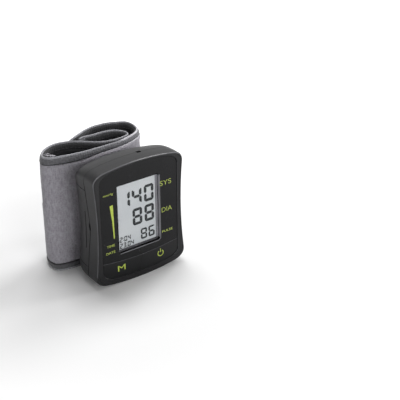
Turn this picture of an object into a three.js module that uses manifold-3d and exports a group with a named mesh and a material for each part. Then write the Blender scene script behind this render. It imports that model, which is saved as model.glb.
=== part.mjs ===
// Wrist blood pressure monitor: a battery powered module on a rolled wrist cuff.
// Millimetres, +Z up. The module's face looks along -Y and the cuff is behind it.
// The origin is the middle of the module's flat foot, on the surface it stands on.
import * as THREE from 'three';
import { mergeVertices } from 'three/addons/utils/BufferGeometryUtils.js';
import Module from 'manifold-3d';

const wasm = await Module();
wasm.setup();

const gap = 0.3; // clearance between pieces that touch or cut each other
const overrun = 6; // how far a cutting body passes what it cuts

const housing = {
  height: 73.6,
  depth: 29.5,
  footHalfWidth: 29.9,
  topDraw: 0.6, // how much narrower each side is at the top than at the foot
  waistDraw: 1.5, // how far the sides draw in at the waist
  crownDrop: 1.9, // fall of the arched top edge from its middle to its corners
  footRise: 1.7, // rise of the bellied bottom edge towards its corners
  topCorner: 6.5,
  footCorner: 7.5,
  wall: 1.8,
  frontWall: 1.5,
  edgeRound: 0.4,
  sideRound: 12, // how far the sides have come in where they meet the back
  sideRoundStart: 13,
  topRound: 12,
  topRoundStart: 4.5,
  footRound: 2.5,
  footFlatDepth: 0.3,
};

const seam = {
  setBack: 9.6, // parting line of the two case halves, behind the face
  bumpForward: 2.2, // the line comes forward round the grip at the waist
  bumpHeight: 37,
  bumpHalfSpan: 21,
};

const fascia = {
  setBack: 0.25,
  thickness: 0.95,
  sideInset: 1.1,
  topInset: 0.9,
  footInset: 3.9,
};

// The straight-sided middle of the fascia, a little proud of its border, with the keys in it
const panel = {
  sideInset: 4.4,
  proud: 0.25,
  topInset: 1.4,
  footInset: 4.5,
  topCorner: 5.5,
  footCorner: 5,
};

const prySlot = { x: 8.2, setBack: 10, width: 0.9, length: 2.7, depth: 1.7 };

const display = {
  centreX: -0.75,
  centreDrop: 33.25, // from the top of the case to the middle of the display
  openingWidth: 28.2,
  openingHeight: 42.5,
  openingCorner: 1.5,
  glassBorder: 1.4, // how far the window and the panel reach behind the fascia
  windowThickness: 0.6,
  panelThickness: 1.9,
  frameBorder: 1.3,
  frameBack: 0.8,
  frameRim: 1.5,
  legSize: 2.2,
  connectorHeight: 1.9,
  connectorRise: 1.2, // from the panel's lower edge up to the connector strip
};

const keys = {
  barTop: 13.8, // top edge of the key bar above the foot, at the middle
  barRise: 2.9, // how much higher that edge is at the sides
  sideInset: 12.1, // from the panel's side to the middle of each key
  stemHeight: 8,
  stemRadius: 1.6,
  travel: 0.6,
  thickness: 0.95,
};

const board = {
  setBack: 7,
  thickness: 1.2,
  left: -10.5,
  rightInset: 9.9,
  bottom: 4.4,
  topDrop: 11.6,
  legTop: 9.8,
  legHalfWidth: 16.6,
};

const tactSwitch = { size: 4.5, height: 1.6, plungerRadius: 1.1, plungerHeight: 0.6 };

const battery = {
  radius: 5.2,
  length: 44.5,
  nubRadius: 1.9,
  nubHeight: 0.9,
  frontInset: 9.3,
  frontY: 11.2,
  rearInset: 14,
  rearY: 20.8,
  contactRoom: 2.8, // left for the contacts at both ends of the cells
};

const compartment = { shelf: 1.2, partition: 1, sideRoom: 0.5 };

const door = {
  bottom: 11.9,
  topDrop: 13.9,
  back: 25.4,
  reachIn: 15.9,
  notchHeight: 38,
  notchRadius: 4.35,
  notchDepth: 1.2,
  gripSetBack: 11.8,
  gripWidth: 0.6,
  gripBottom: 23,
  gripTop: 46,
  gripDepth: 0.7,
};

const spring = { radius: 3.2, wire: 0.55, turns: 4, tipRadius: 1.9 };

const screw = {
  topSideInset: 10.1,
  topDrop: 7.6,
  footSideInset: 9.9,
  footZ: 6.8,
  postRadius: 2.4,
  bossRadius: 3.2,
  shankRadius: 1,
  headRadius: 1.8,
  headHeight: 1.3,
  seat: 20,
  postEnd: 10,
  length: 12.5,
};

const pump = {
  sideInset: 15,
  y: 19.3,
  motorRadius: 6.2,
  motorBottom: 10.6,
  motorLength: 20.6,
  headRadius: 7,
  headLength: 14,
  nippleRadius: 1.3,
  nippleLength: 3.4,
  ribs: 3,
  ribDepth: 0.5,
  ribWidth: 1.1,
};

const valve = {
  sideInset: 8.7,
  width: 12.4,
  front: 17.4,
  depth: 7,
  topDrop: 14.1,
  height: 9.5,
  coilRadius: 3,
};

const sensor = { size: 8, x: 0, z: 28, height: 3, nippleRadius: 1.2, nippleLength: 3 };

const manifold = {
  x: 0,
  y: 19,
  bottom: 25,
  topDrop: 15.6,
  radius: 2.7,
  bore: 1.1,
  armRadius: 2.5,
  portArmRadius: 3.9,
};

const buzzer = { sideRoom: 0.5, drop: 18.6, radius: 4.5, height: 3.4, holeRadius: 0.9, holeDepth: 1 };

const chip = { x: 9, z: 33, size: 10, height: 1.4 };

const plate = { width: 31, topDrop: 14.6, bottom: 9, thickness: 1.2, corner: 4 };

const airPort = { height: 36, radius: 2.2, reach: 7.2 };

const cuff = {
  height: 70,
  sheet: 1.15, // each of the two fabric layers
  pressed: 0.25, // each layer inside the sewn edge binding
  padded: 4.6, // over both layers where the air bladder lies between them
  stiffener: 0.6,
  bladder: 0.8,
  hem: 4.7, // height of the edge binding
  binding: 0.6,
  stiffenerInset: 13,
  bladderInset: 14,
  halfSpan: 36,
  openDepth: 22,
  lean: 0.8,
};

const hookTab = { thickness: 1, cornerRadius: 12, inset: 10 };

// Named sizes worked out from those above
const fasciaBack = fascia.setBack + fascia.thickness;
const pocketFloor = fasciaBack + gap;
const frontWallBack = pocketFloor + housing.frontWall;
const windowBack = pocketFloor + display.windowThickness;
const panelFront = windowBack + gap;
const panelBack = panelFront + display.panelThickness;
const boardBack = board.setBack + board.thickness;
const switchFront = board.setBack - gap - tactSwitch.height;
const plungerTip = switchFront - tactSwitch.plungerHeight;
const innerBack = housing.depth - housing.wall;
const plateFront = housing.depth + gap;
const plateBack = plateFront + plate.thickness;
const plain = 2 * cuff.sheet + gap;
const wallLine = plateBack + 2 * gap + cuff.padded / 2; // a second gap leaves room to lean
const layerPitch = (cuff.padded + plain) / 2 + gap;
const panelHalf = housing.footHalfWidth - panel.sideInset;
const topHalfWidth = housing.footHalfWidth - housing.topDraw;
const keyX = panelHalf - keys.sideInset;
const displayLeft = display.centreX - display.openingWidth / 2;
const displayRight = display.centreX + display.openingWidth / 2;
const displayBottom = housing.height - display.centreDrop - display.openingHeight / 2;
const displayTop = displayBottom + display.openingHeight;
const boardRight = housing.footHalfWidth - board.rightInset;
const boardTop = housing.height - board.topDrop;
const batteryBottom = (housing.height - battery.length) / 2;
const batteryTop = batteryBottom + battery.length;
const frontCellX = battery.frontInset - housing.footHalfWidth;
const rearCellX = battery.rearInset - housing.footHalfWidth;
const bayBottom = batteryBottom - battery.contactRoom - gap;
const bayTop = batteryTop + battery.contactRoom + gap;
const bayRight = rearCellX + battery.radius + compartment.sideRoom + compartment.partition;
const doorTop = housing.height - door.topDrop;
const doorInner = door.reachIn - housing.footHalfWidth;
const screwTopX = topHalfWidth - screw.topSideInset;
const screwTopZ = housing.height - screw.topDrop;
const screwFootX = housing.footHalfWidth - screw.footSideInset;
const pumpX = housing.footHalfWidth - pump.sideInset;
const valveRight = housing.footHalfWidth - valve.sideInset;
const valveLeft = valveRight - valve.width;
const valveTop = housing.height - valve.topDrop;
const valveBottom = valveTop - valve.height;
const valveY = valve.front + valve.depth / 2;
const valveZ = (valveBottom + valveTop) / 2;
const buzzerX = bayRight + buzzer.sideRoom + buzzer.radius;
const buzzerZ = housing.height - buzzer.drop;
const plateTop = housing.height - plate.topDrop;
const manifoldTop = housing.height - manifold.topDrop;

const monitor = new THREE.Group();
monitor.position.y = -housing.depth / 2;

const finishes = {
  caseBlack: { color: 0x3b3b3d, roughness: 0.45, metalness: 0 },
  fasciaBlack: { color: 0x2d2d2f, roughness: 0.25, metalness: 0 },
  clear: { color: 0xe8eef0, roughness: 0.05, metalness: 0 },
  lcd: { color: 0xb8bcbe, roughness: 0.3, metalness: 0 },
  innerWhite: { color: 0xd8d8d2, roughness: 0.5, metalness: 0 },
  boardGreen: { color: 0x2f6b3d, roughness: 0.5, metalness: 0 },
  componentBlack: { color: 0x1d1d1f, roughness: 0.4, metalness: 0 },
  steel: { color: 0xb9bbbe, roughness: 0.3, metalness: 1 },
  silicone: { color: 0xc9ccca, roughness: 0.6, metalness: 0 },
  cellJacket: { color: 0x55585c, roughness: 0.35, metalness: 0.3 },
  coverFabric: { color: 0x77747b, roughness: 0.95, metalness: 0 },
  liningFabric: { color: 0x2b2b2d, roughness: 0.9, metalness: 0 },
  bladderFilm: { color: 0x8d9296, roughness: 0.5, metalness: 0 },
};

function add(name, geometry, finish) {
  const mesh = new THREE.Mesh(geometry, new THREE.MeshStandardMaterial(finishes[finish]));
  mesh.name = name;
  monitor.add(mesh);
  return mesh;
}

// A closed geometry as a solid that can be joined and cut
function toSolid(geometry) {
  const bare = new THREE.BufferGeometry();
  bare.setAttribute('position', geometry.getAttribute('position').clone());
  if (geometry.index) bare.setIndex(geometry.index.clone());
  const merged = mergeVertices(bare, 1e-4);
  return new wasm.Manifold(
    new wasm.Mesh({
      numProp: 3,
      vertProperties: new Float32Array(merged.getAttribute('position').array),
      triVerts: new Uint32Array(merged.index.array),
    }),
  );
}

function toGeometry(solid) {
  const { vertProperties, triVerts } = solid.getMesh();
  const geometry = new THREE.BufferGeometry();
  geometry.setAttribute('position', new THREE.BufferAttribute(new Float32Array(vertProperties), 3));
  geometry.setIndex(new THREE.BufferAttribute(new Uint32Array(triVerts), 1));
  return geometry;
}

function box(x0, x1, y0, y1, z0, z1) {
  const geometry = new THREE.BoxGeometry(x1 - x0, y1 - y0, z1 - z0);
  geometry.translate((x0 + x1) / 2, (y0 + y1) / 2, (z0 + z1) / 2);
  return toSolid(geometry);
}

// Cylinders along each axis, from one end to the other
function rodY(radius, x, z, y0, y1, sides = 20) {
  const geometry = new THREE.CylinderGeometry(radius, radius, y1 - y0, sides);
  geometry.translate(x, (y0 + y1) / 2, z);
  return toSolid(geometry);
}

function rodX(radius, y, z, x0, x1, sides = 14) {
  const geometry = new THREE.CylinderGeometry(radius, radius, x1 - x0, sides);
  geometry.rotateZ(Math.PI / 2);
  geometry.translate((x0 + x1) / 2, y, z);
  return toSolid(geometry);
}

function rodZ(radius, x, y, z0, z1, sides = 20) {
  const geometry = new THREE.CylinderGeometry(radius, radius, z1 - z0, sides);
  geometry.rotateX(Math.PI / 2);
  geometry.translate(x, y, (z0 + z1) / 2);
  return toSolid(geometry);
}

// A flat outline in x and z, extruded from y0 back to y1
function slab(shape, y0, y1, curveSegments = 5) {
  const geometry = new THREE.ExtrudeGeometry(shape, { depth: y1 - y0, bevelEnabled: false, curveSegments });
  geometry.rotateX(Math.PI / 2);
  geometry.translate(0, y1, 0);
  return toSolid(geometry);
}

// A flat outline in y and z, extruded from x0 to x1
function sideSlab(shape, x0, x1) {
  const geometry = new THREE.ExtrudeGeometry(shape, { depth: x1 - x0, bevelEnabled: false });
  geometry.rotateY(Math.PI / 2);
  geometry.rotateX(Math.PI / 2);
  geometry.translate(x0, 0, 0);
  return toSolid(geometry);
}

function roundedRect(x0, x1, z0, z1, r) {
  const shape = new THREE.Shape();
  shape.moveTo(x0 + r, z0);
  shape.lineTo(x1 - r, z0);
  shape.absarc(x1 - r, z0 + r, r, -Math.PI / 2, 0);
  shape.lineTo(x1, z1 - r);
  shape.absarc(x1 - r, z1 - r, r, 0, Math.PI / 2);
  shape.lineTo(x0 + r, z1);
  shape.absarc(x0 + r, z1 - r, r, Math.PI / 2, Math.PI);
  shape.lineTo(x0, z0 + r);
  shape.absarc(x0 + r, z0 + r, r, Math.PI, 1.5 * Math.PI);
  return shape;
}

// Where the tangents of two edges meet, which steers the corner between them
function meeting(p, pd, q, qd) {
  const along = ((q.x - p.x) * qd.y - (q.y - p.y) * qd.x) / (pd.x * qd.y - pd.y * qd.x);
  return new THREE.Vector2(p.x + pd.x * along, p.y + pd.y * along);
}

// The module's outline seen from the front: arched top, bellied foot and sides drawn in at
// the waist. Each edge can be inset, for the fascia, the hollow and the rounded back.
function outline(side, top, foot) {
  const { crownDrop, footRise, waistDraw, topCorner, footCorner } = housing;
  const wTop = topHalfWidth - side;
  const wFoot = housing.footHalfWidth - side;
  const zTop = housing.height - top;
  const zFoot = foot - housing.footFlatDepth;
  const upper = zTop - crownDrop - topCorner;
  const lower = zFoot + footRise + footCorner;
  const waist = (wTop + wFoot) / 2 - 2 * waistDraw;
  const middle = (upper + lower) / 2;
  const halfTop = wTop - topCorner;
  const halfFoot = wFoot - footCorner;
  const right = [new THREE.Vector2(wFoot, lower), new THREE.Vector2(wTop, upper)];
  const arch = new THREE.Vector2(halfTop, zTop - crownDrop);
  const belly = new THREE.Vector2(halfFoot, zFoot + footRise);
  const waistPoint = new THREE.Vector2(waist, middle);
  const archPoint = new THREE.Vector2(0, zTop + crownDrop);
  const bellyPoint = new THREE.Vector2(0, zFoot - footRise);
  const topCornerPoint = meeting(
    right[1], waistPoint.clone().sub(right[1]), arch, archPoint.clone().sub(arch));
  const footCornerPoint = meeting(
    right[0], waistPoint.clone().sub(right[0]), belly, bellyPoint.clone().sub(belly));
  const shape = new THREE.Shape();
  shape.moveTo(-belly.x, belly.y);
  shape.quadraticCurveTo(0, bellyPoint.y, belly.x, belly.y);
  shape.quadraticCurveTo(footCornerPoint.x, footCornerPoint.y, wFoot, lower);
  shape.quadraticCurveTo(waist, middle, wTop, upper);
  shape.quadraticCurveTo(topCornerPoint.x, topCornerPoint.y, arch.x, arch.y);
  shape.quadraticCurveTo(0, archPoint.y, -arch.x, arch.y);
  shape.quadraticCurveTo(-topCornerPoint.x, topCornerPoint.y, -wTop, upper);
  shape.quadraticCurveTo(-waist, middle, -wFoot, lower);
  shape.quadraticCurveTo(-footCornerPoint.x, footCornerPoint.y, -belly.x, belly.y);
  return shape;
}

// How far a rounding has come in at depth y: a quarter ellipse that ends in the back face
function rounding(y, start, back, amount) {
  const share = THREE.MathUtils.clamp((y - start) / (back - start), 0, 1);
  return amount * (1 - Math.sqrt(1 - share * share));
}

// A closed body through outlines at several depths
function loft(rings) {
  const loops = rings.map((ring) => {
    const points = outline(ring.side, ring.top, ring.foot).getPoints(5);
    points.pop();
    return points.map((p) => new THREE.Vector3(p.x, ring.y, p.y));
  });
  const count = loops[0].length;
  const vertices = loops.flat();
  const faces = [];
  for (let level = 0; level < loops.length - 1; level++) {
    for (let i = 0; i < count; i++) {
      const next = (i + 1) % count;
      const a = level * count + i;
      const b = level * count + next;
      faces.push(a, a + count, b + count, a, b + count, b);
    }
  }
  const last = (loops.length - 1) * count;
  const frontHub = vertices.length;
  const backHub = frontHub + 1;
  const hubHeight = housing.height / 2;
  vertices.push(new THREE.Vector3(0, rings[0].y, hubHeight));
  vertices.push(new THREE.Vector3(0, rings.at(-1).y, hubHeight));
  for (let i = 0; i < count; i++) {
    const next = (i + 1) % count;
    faces.push(frontHub, i, next);
    faces.push(backHub, last + next, last + i);
  }
  const geometry = new THREE.BufferGeometry().setFromPoints(vertices);
  geometry.setIndex(faces);
  return toSolid(geometry);
}

const ringShares = [0, 0.3, 0.5, 0.68, 0.82, 0.93, 1];

function backRings(wall) {
  const back = housing.depth - wall;
  const first = housing.topRoundStart;
  return ringShares.map((share) => {
    const y = first + (back - first) * share;
    return {
      y,
      side: wall + rounding(y, housing.sideRoundStart, back, housing.sideRound),
      top: wall + rounding(y, housing.topRoundStart, back, housing.topRound),
      foot: wall + rounding(y, housing.sideRoundStart, back, housing.footRound),
    };
  });
}

const edge = housing.edgeRound;
const bevelShare = 0.3;
const outerBody = loft([
  { y: 0, side: edge, top: edge, foot: edge },
  { y: edge * bevelShare, side: edge * bevelShare, top: edge * bevelShare, foot: edge * bevelShare },
  { y: edge, side: 0, top: 0, foot: 0 },
  ...backRings(0),
]).subtract(box(-housing.footHalfWidth, housing.footHalfWidth, -overrun, housing.depth + overrun,
  -overrun, 0));
const innerBody = loft([
  { y: frontWallBack, side: housing.wall, top: housing.wall, foot: housing.wall },
  ...backRings(housing.wall),
]);

// The parting line between the case halves, seen from the side
function seamDepth(z) {
  const share = THREE.MathUtils.clamp(Math.abs(z - seam.bumpHeight) / seam.bumpHalfSpan, 0, 1);
  return seam.setBack - seam.bumpForward * (1 - share) ** 1.4;
}

function frontRegion(offset) {
  const shape = new THREE.Shape();
  const low = -overrun;
  const high = housing.height + overrun;
  const steps = 14;
  shape.moveTo(-overrun, low);
  shape.lineTo(seam.setBack + offset, low);
  for (let i = 0; i <= steps; i++) {
    const z = seam.bumpHeight + seam.bumpHalfSpan * ((2 * i) / steps - 1);
    shape.lineTo(seamDepth(z) + offset, z);
  }
  shape.lineTo(seam.setBack + offset, high);
  shape.lineTo(-overrun, high);
  const reach = housing.footHalfWidth + overrun;
  return sideSlab(shape, -reach, reach);
}

const reach = housing.footHalfWidth + overrun;
const rearBlock = outerBody.subtract(frontRegion(gap / 2));
function displayRect(border, corner) {
  return roundedRect(displayLeft - border, displayRight + border, displayBottom - border,
    displayTop + border, corner);
}

const screwPlaces = [
  [-screwTopX, screwTopZ],
  [screwTopX, screwTopZ],
  [-screwFootX, screw.footZ],
  [screwFootX, screw.footZ],
];

// The strip of the face that the two keys fill, below an upturned curved edge
function keyStrip(inset) {
  const half = housing.footHalfWidth;
  const shape = new THREE.Shape();
  shape.moveTo(-half, -overrun);
  shape.lineTo(half, -overrun);
  shape.lineTo(half, keys.barTop + keys.barRise - inset);
  shape.quadraticCurveTo(0, keys.barTop - keys.barRise - inset,
    -half, keys.barTop + keys.barRise - inset);
  return slab(shape, -overrun, housing.depth, 8);
}

// The middle panel's outline, grown or shrunk all round
function panelPlate(clearance, y0, y1) {
  const half = panelHalf + clearance;
  const zTop = housing.height - panel.topInset + clearance;
  const zFoot = panel.footInset - housing.footFlatDepth - clearance;
  const { crownDrop, footRise } = housing;
  const { topCorner, footCorner } = panel;
  const shape = new THREE.Shape();
  shape.moveTo(-half + footCorner, zFoot + footRise);
  shape.quadraticCurveTo(0, zFoot - footRise, half - footCorner, zFoot + footRise);
  shape.quadraticCurveTo(half, zFoot + 2 * footRise, half, zFoot + footRise + footCorner);
  shape.lineTo(half, zTop - crownDrop - topCorner);
  shape.quadraticCurveTo(half, zTop - 2 * crownDrop, half - topCorner, zTop - crownDrop);
  shape.quadraticCurveTo(0, zTop + crownDrop, -half + topCorner, zTop - crownDrop);
  shape.quadraticCurveTo(-half, zTop - 2 * crownDrop, -half, zTop - crownDrop - topCorner);
  shape.lineTo(-half, zFoot + footRise + footCorner);
  shape.quadraticCurveTo(-half, zFoot + 2 * footRise, -half + footCorner, zFoot + footRise);
  return slab(shape, y0, y1);
}

function facePlate(clearance, y0, y1) {
  return slab(outline(fascia.sideInset - clearance, fascia.topInset - clearance,
    fascia.footInset - clearance), y0, y1);
}

function makeFrontCase() {
  const keyFloor = pocketFloor + keys.travel;
  let shell = outerBody.intersect(frontRegion(-gap / 2)).subtract(innerBody);
  for (const [x, z] of screwPlaces) {
    const post = rodY(screw.postRadius, x, z, frontWallBack - housing.frontWall / 2, screw.postEnd, 16);
    const pilot = rodY(screw.shankRadius + gap, x, z, screw.postEnd - screw.length / 2,
      screw.postEnd + overrun, 12);
    shell = shell.add(post).subtract(pilot);
  }
  shell = shell.subtract(facePlate(gap, -overrun, pocketFloor));
  shell = shell.subtract(panelPlate(0, -overrun, keyFloor).intersect(keyStrip(0)));
  shell = shell.subtract(slab(displayRect(display.glassBorder + gap, gap + gap), 0, frontWallBack + overrun));
  for (const side of [-1, 1]) {
    shell = shell.subtract(rodY(keys.stemRadius + gap, side * keyX, keys.stemHeight, 0,
      frontWallBack + overrun, 16));
  }
  return shell;
}

function makeFascia() {
  const opening = slab(displayRect(0, display.openingCorner), -overrun, overrun);
  const keyRoom = panelPlate(0, -overrun, overrun).intersect(keyStrip(-gap / 2));
  return facePlate(0, fascia.setBack + panel.proud, fasciaBack)
    .add(panelPlate(0, fascia.setBack, fasciaBack))
    .subtract(keyRoom)
    .subtract(opening);
}

function makeKey(side) {
  const half = housing.footHalfWidth;
  const [x0, x1] = side < 0 ? [-half, -gap / 2] : [gap / 2, half];
  const cap = panelPlate(-gap, fascia.setBack, fascia.setBack + keys.thickness)
    .intersect(keyStrip(gap / 2))
    .intersect(box(x0, x1, -overrun, overrun, -overrun, housing.height));
  const stemEnd = plungerTip - keys.travel - gap / 2;
  const stem = rodY(keys.stemRadius, side * keyX, keys.stemHeight,
    fascia.setBack + keys.thickness / 2, stemEnd, 16);
  return cap.add(stem);
}

function makeSwitch(side) {
  const x = side * keyX;
  const half = tactSwitch.size / 2;
  const body = box(x - half, x + half, switchFront, board.setBack - gap, keys.stemHeight - half,
    keys.stemHeight + half);
  return body.add(rodY(tactSwitch.plungerRadius, x, keys.stemHeight, plungerTip,
    switchFront + tactSwitch.height / 2, 12));
}

function makeRearCase() {
  let shell = rearBlock.subtract(innerBody);
  const low = bayBottom;
  const high = bayTop;
  const right = bayRight;
  const front = seam.setBack + gap;
  const inner = rearBlock;
  shell = shell.add(box(-reach, right, front, housing.depth, low - compartment.shelf, low).intersect(inner));
  shell = shell.add(box(-reach, right, front, housing.depth, high, high + compartment.shelf).intersect(inner));
  shell = shell.add(box(right - compartment.partition, right, front, housing.depth,
    low - compartment.shelf, high + compartment.shelf).intersect(inner));
  for (const [x, z] of screwPlaces) {
    shell = shell.add(rodY(screw.bossRadius, x, z, screw.postEnd + gap, housing.depth).intersect(inner));
    shell = shell.subtract(rodY(screw.headRadius + gap, x, z, screw.seat, housing.depth + overrun, 16));
    shell = shell.subtract(rodY(screw.shankRadius + gap, x, z, 0, screw.seat + gap, 12));
  }
  shell = shell.subtract(box(-reach, doorInner, 0, door.back + gap, door.bottom - gap, doorTop + gap));
  shell = shell.subtract(box(prySlot.x, prySlot.x + prySlot.width, prySlot.setBack,
    prySlot.setBack + prySlot.length, housing.height - prySlot.depth, housing.height + overrun));
  return shell.subtract(rodY(airPort.radius + gap, 0, airPort.height, innerBack - overrun,
    housing.depth + overrun, 16));
}

function makeBatteryCover() {
  const region = box(-reach, doorInner, 0, door.back, door.bottom, doorTop);
  const waistEdge = housing.footHalfWidth - housing.waistDraw;
  const nailNotch = rodX(door.notchRadius, seamDepth(door.notchHeight) - door.notchRadius + door.notchDepth,
    door.notchHeight, -reach, -waistEdge + housing.wall, 18);
  const grip = box(-reach, -waistEdge + door.gripDepth, door.gripSetBack, door.gripSetBack + door.gripWidth,
    door.gripBottom, door.gripTop);
  return rearBlock.subtract(innerBody).intersect(region).subtract(nailNotch).subtract(grip);
}

function makeDisplayParts() {
  const border = display.glassBorder;
  const corner = gap;
  add('display_window', toGeometry(slab(displayRect(border, corner), pocketFloor, windowBack)), 'clear');
  add('lcd_panel', toGeometry(slab(displayRect(border, corner), panelFront, panelBack)), 'lcd');

  const frameFront = frontWallBack + gap;
  const ringBack = frameFront + display.frameRim;
  const plateStart = panelBack + gap;
  const plateEnd = plateStart + display.frameBack;
  const outer = displayRect(border + gap + display.frameBorder, display.frameBorder);
  const stripBottom = displayBottom - border + display.connectorRise;
  const stripTop = stripBottom + display.connectorHeight;
  const stripLeft = board.left + gap;
  const stripRight = displayRight - gap;
  let frame = slab(outer, frameFront, ringBack).subtract(
    slab(displayRect(border + gap, corner), 0, ringBack + overrun));
  const backLeft = displayLeft - border - gap - display.frameBorder / 2;
  frame = frame.add(box(backLeft, displayRight + border + gap + display.frameBorder / 2, plateStart, plateEnd,
    stripBottom - gap - display.frameBorder, displayTop + border + gap + display.frameBorder / 2));
  for (const x of [board.left + display.legSize, displayRight - display.legSize]) {
    for (const z of [stripTop + display.legSize, displayTop - display.legSize]) {
      frame = frame.add(box(x, x + display.legSize, plateStart, board.setBack - gap, z, z + display.legSize));
    }
  }
  frame = frame.subtract(box(stripLeft - gap, stripRight + gap, 0, board.setBack, stripBottom - gap,
    stripTop + gap));
  const postRoom = rodY(screw.postRadius + gap, -screwTopX, screwTopZ, 0, board.setBack, 16);
  add('lcd_frame', toGeometry(frame.subtract(postRoom)), 'innerWhite');
  add('lcd_connector', toGeometry(box(stripLeft, stripRight, plateStart, board.setBack - gap,
    stripBottom, stripTop)), 'silicone');
}

function makeBoard() {
  const shape = new THREE.Shape();
  shape.moveTo(-board.legHalfWidth, board.bottom);
  shape.lineTo(boardRight, board.bottom);
  shape.lineTo(boardRight, boardTop);
  shape.lineTo(board.left, boardTop);
  shape.lineTo(board.left, board.legTop);
  shape.lineTo(-board.legHalfWidth, board.legTop);
  const right = screwFootX - screw.postRadius - gap;
  const notch = box(right, boardRight + overrun, 0, housing.depth, 0, screw.footZ + screw.bossRadius + gap);
  return slab(shape, board.setBack, boardBack).subtract(notch);
}

function makeBattery(x, y, up) {
  const profile = [
    [0, 0],
    [battery.radius, 0],
    [battery.radius, battery.length - battery.nubHeight],
    [battery.nubRadius, battery.length - battery.nubHeight],
    [battery.nubRadius, battery.length],
    [0, battery.length],
  ].map(([r, z]) => new THREE.Vector2(r, z));
  const geometry = new THREE.LatheGeometry(profile, 24);
  geometry.rotateX(up ? Math.PI / 2 : -Math.PI / 2);
  geometry.translate(x, y, up ? batteryBottom : batteryTop);
  return toSolid(geometry);
}

// A conical wire spring standing on a flat tab, as the minus pole of each cell presses on
class SpringCurve extends THREE.Curve {
  constructor(x, y, base, tip) {
    super();
    Object.assign(this, { x, y, base, tip });
  }

  getPoint(t, target = new THREE.Vector3()) {
    const angle = 2 * Math.PI * spring.turns * t;
    const radius = spring.radius + (spring.tipRadius - spring.radius) * t;
    return target.set(
      this.x + radius * Math.cos(angle),
      this.y + radius * Math.sin(angle),
      this.base + (this.tip - this.base) * t,
    );
  }
}

function makeSpring(x, y, base, tip) {
  const section = new THREE.Shape();
  section.absarc(0, 0, spring.wire / 2, 0, 2 * Math.PI);
  return toSolid(new THREE.ExtrudeGeometry(section, {
    steps: spring.turns * 8,
    extrudePath: new SpringCurve(x, y, base, tip),
    bevelEnabled: false,
    curveSegments: 5,
  }));
}

function makeContacts() {
  const tab = gap;
  const half = battery.radius - 1.5 * gap;
  const low = bayBottom + gap;
  const high = bayTop - gap;
  const { frontY, rearY } = battery;
  const frontX = frontCellX;
  const rearX = rearCellX;
  const springBase = low + tab / 2 + spring.wire / 4;
  const springTip = batteryBottom - gap - spring.wire / 2;
  const minus = box(frontX - half, frontX + half, frontY - half / 2, frontY + half, low, low + tab)
    .add(makeSpring(frontX, frontY, springBase, springTip));
  add('battery_minus_contact', toGeometry(minus), 'steel');
  const plusPost = rodZ(battery.nubRadius, rearX, rearY, low, batteryBottom - gap, 14);
  const plus = box(rearX - half, rearX + half, rearY - half, rearY + half, low, low + tab).add(plusPost);
  add('battery_plus_contact', toGeometry(plus), 'steel');
  const bridgeTip = batteryTop + gap + spring.wire / 2;
  const bridge = box(rearX - half, rearX + half, frontY - half / 2, rearY + half / 2, high - tab, high)
    .add(makeSpring(rearX, rearY, high - tab / 2 - spring.wire / 4, bridgeTip))
    .add(box(frontX - half, frontX + half / 2, frontY - half / 2, frontY + half / 2, high - tab, high));
  add('battery_bridge_contact', toGeometry(bridge), 'steel');
}

function makePump() {
  const x = pumpX;
  const { y } = pump;
  const motorTop = pump.motorBottom + pump.motorLength;
  const headBottom = motorTop + gap;
  const headTop = headBottom + pump.headLength;
  const flat = pump.motorRadius * 0.82;
  const motor = rodZ(pump.motorRadius, x, y, pump.motorBottom, motorTop, 28)
    .intersect(box(x - flat, x + flat, 0, housing.depth, 0, housing.height));
  add('pump_motor', toGeometry(motor), 'steel');
  let head = rodZ(pump.headRadius, x, y, headBottom, headTop, 28);
  for (let i = 1; i <= pump.ribs; i++) {
    const z = headBottom + (i * pump.headLength) / (pump.ribs + 1);
    const ring = rodZ(pump.headRadius + overrun, x, y, z, z + pump.ribWidth, 28)
      .subtract(rodZ(pump.headRadius - pump.ribDepth, x, y, 0, housing.height, 28));
    head = head.subtract(ring);
  }
  const nippleZ = headTop - pump.nippleRadius - pump.ribWidth;
  head = head.add(rodX(pump.nippleRadius, manifold.y, nippleZ, x - pump.headRadius - pump.nippleLength, x));
  add('pump_head', toGeometry(head), 'componentBlack');
  return nippleZ;
}

function makeValve() {
  const back = valve.front + valve.depth;
  const inset = 2 * gap;
  const body = box(valveLeft, valveRight, valve.front, back, valveBottom, valveTop);
  const window = box(valveLeft + 2 * inset, valveRight - 2 * inset, 0, housing.depth + overrun,
    valveBottom + inset, valveTop - inset);
  const coil = rodX(valve.coilRadius, valveY, valveZ, valveLeft + inset, valveRight - inset, 18);
  const nipple = rodX(pump.nippleRadius, valveY, valveZ, valveLeft - pump.nippleLength,
    valveLeft + 2 * inset);
  return body.subtract(window).add(coil).add(nipple);
}

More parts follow.
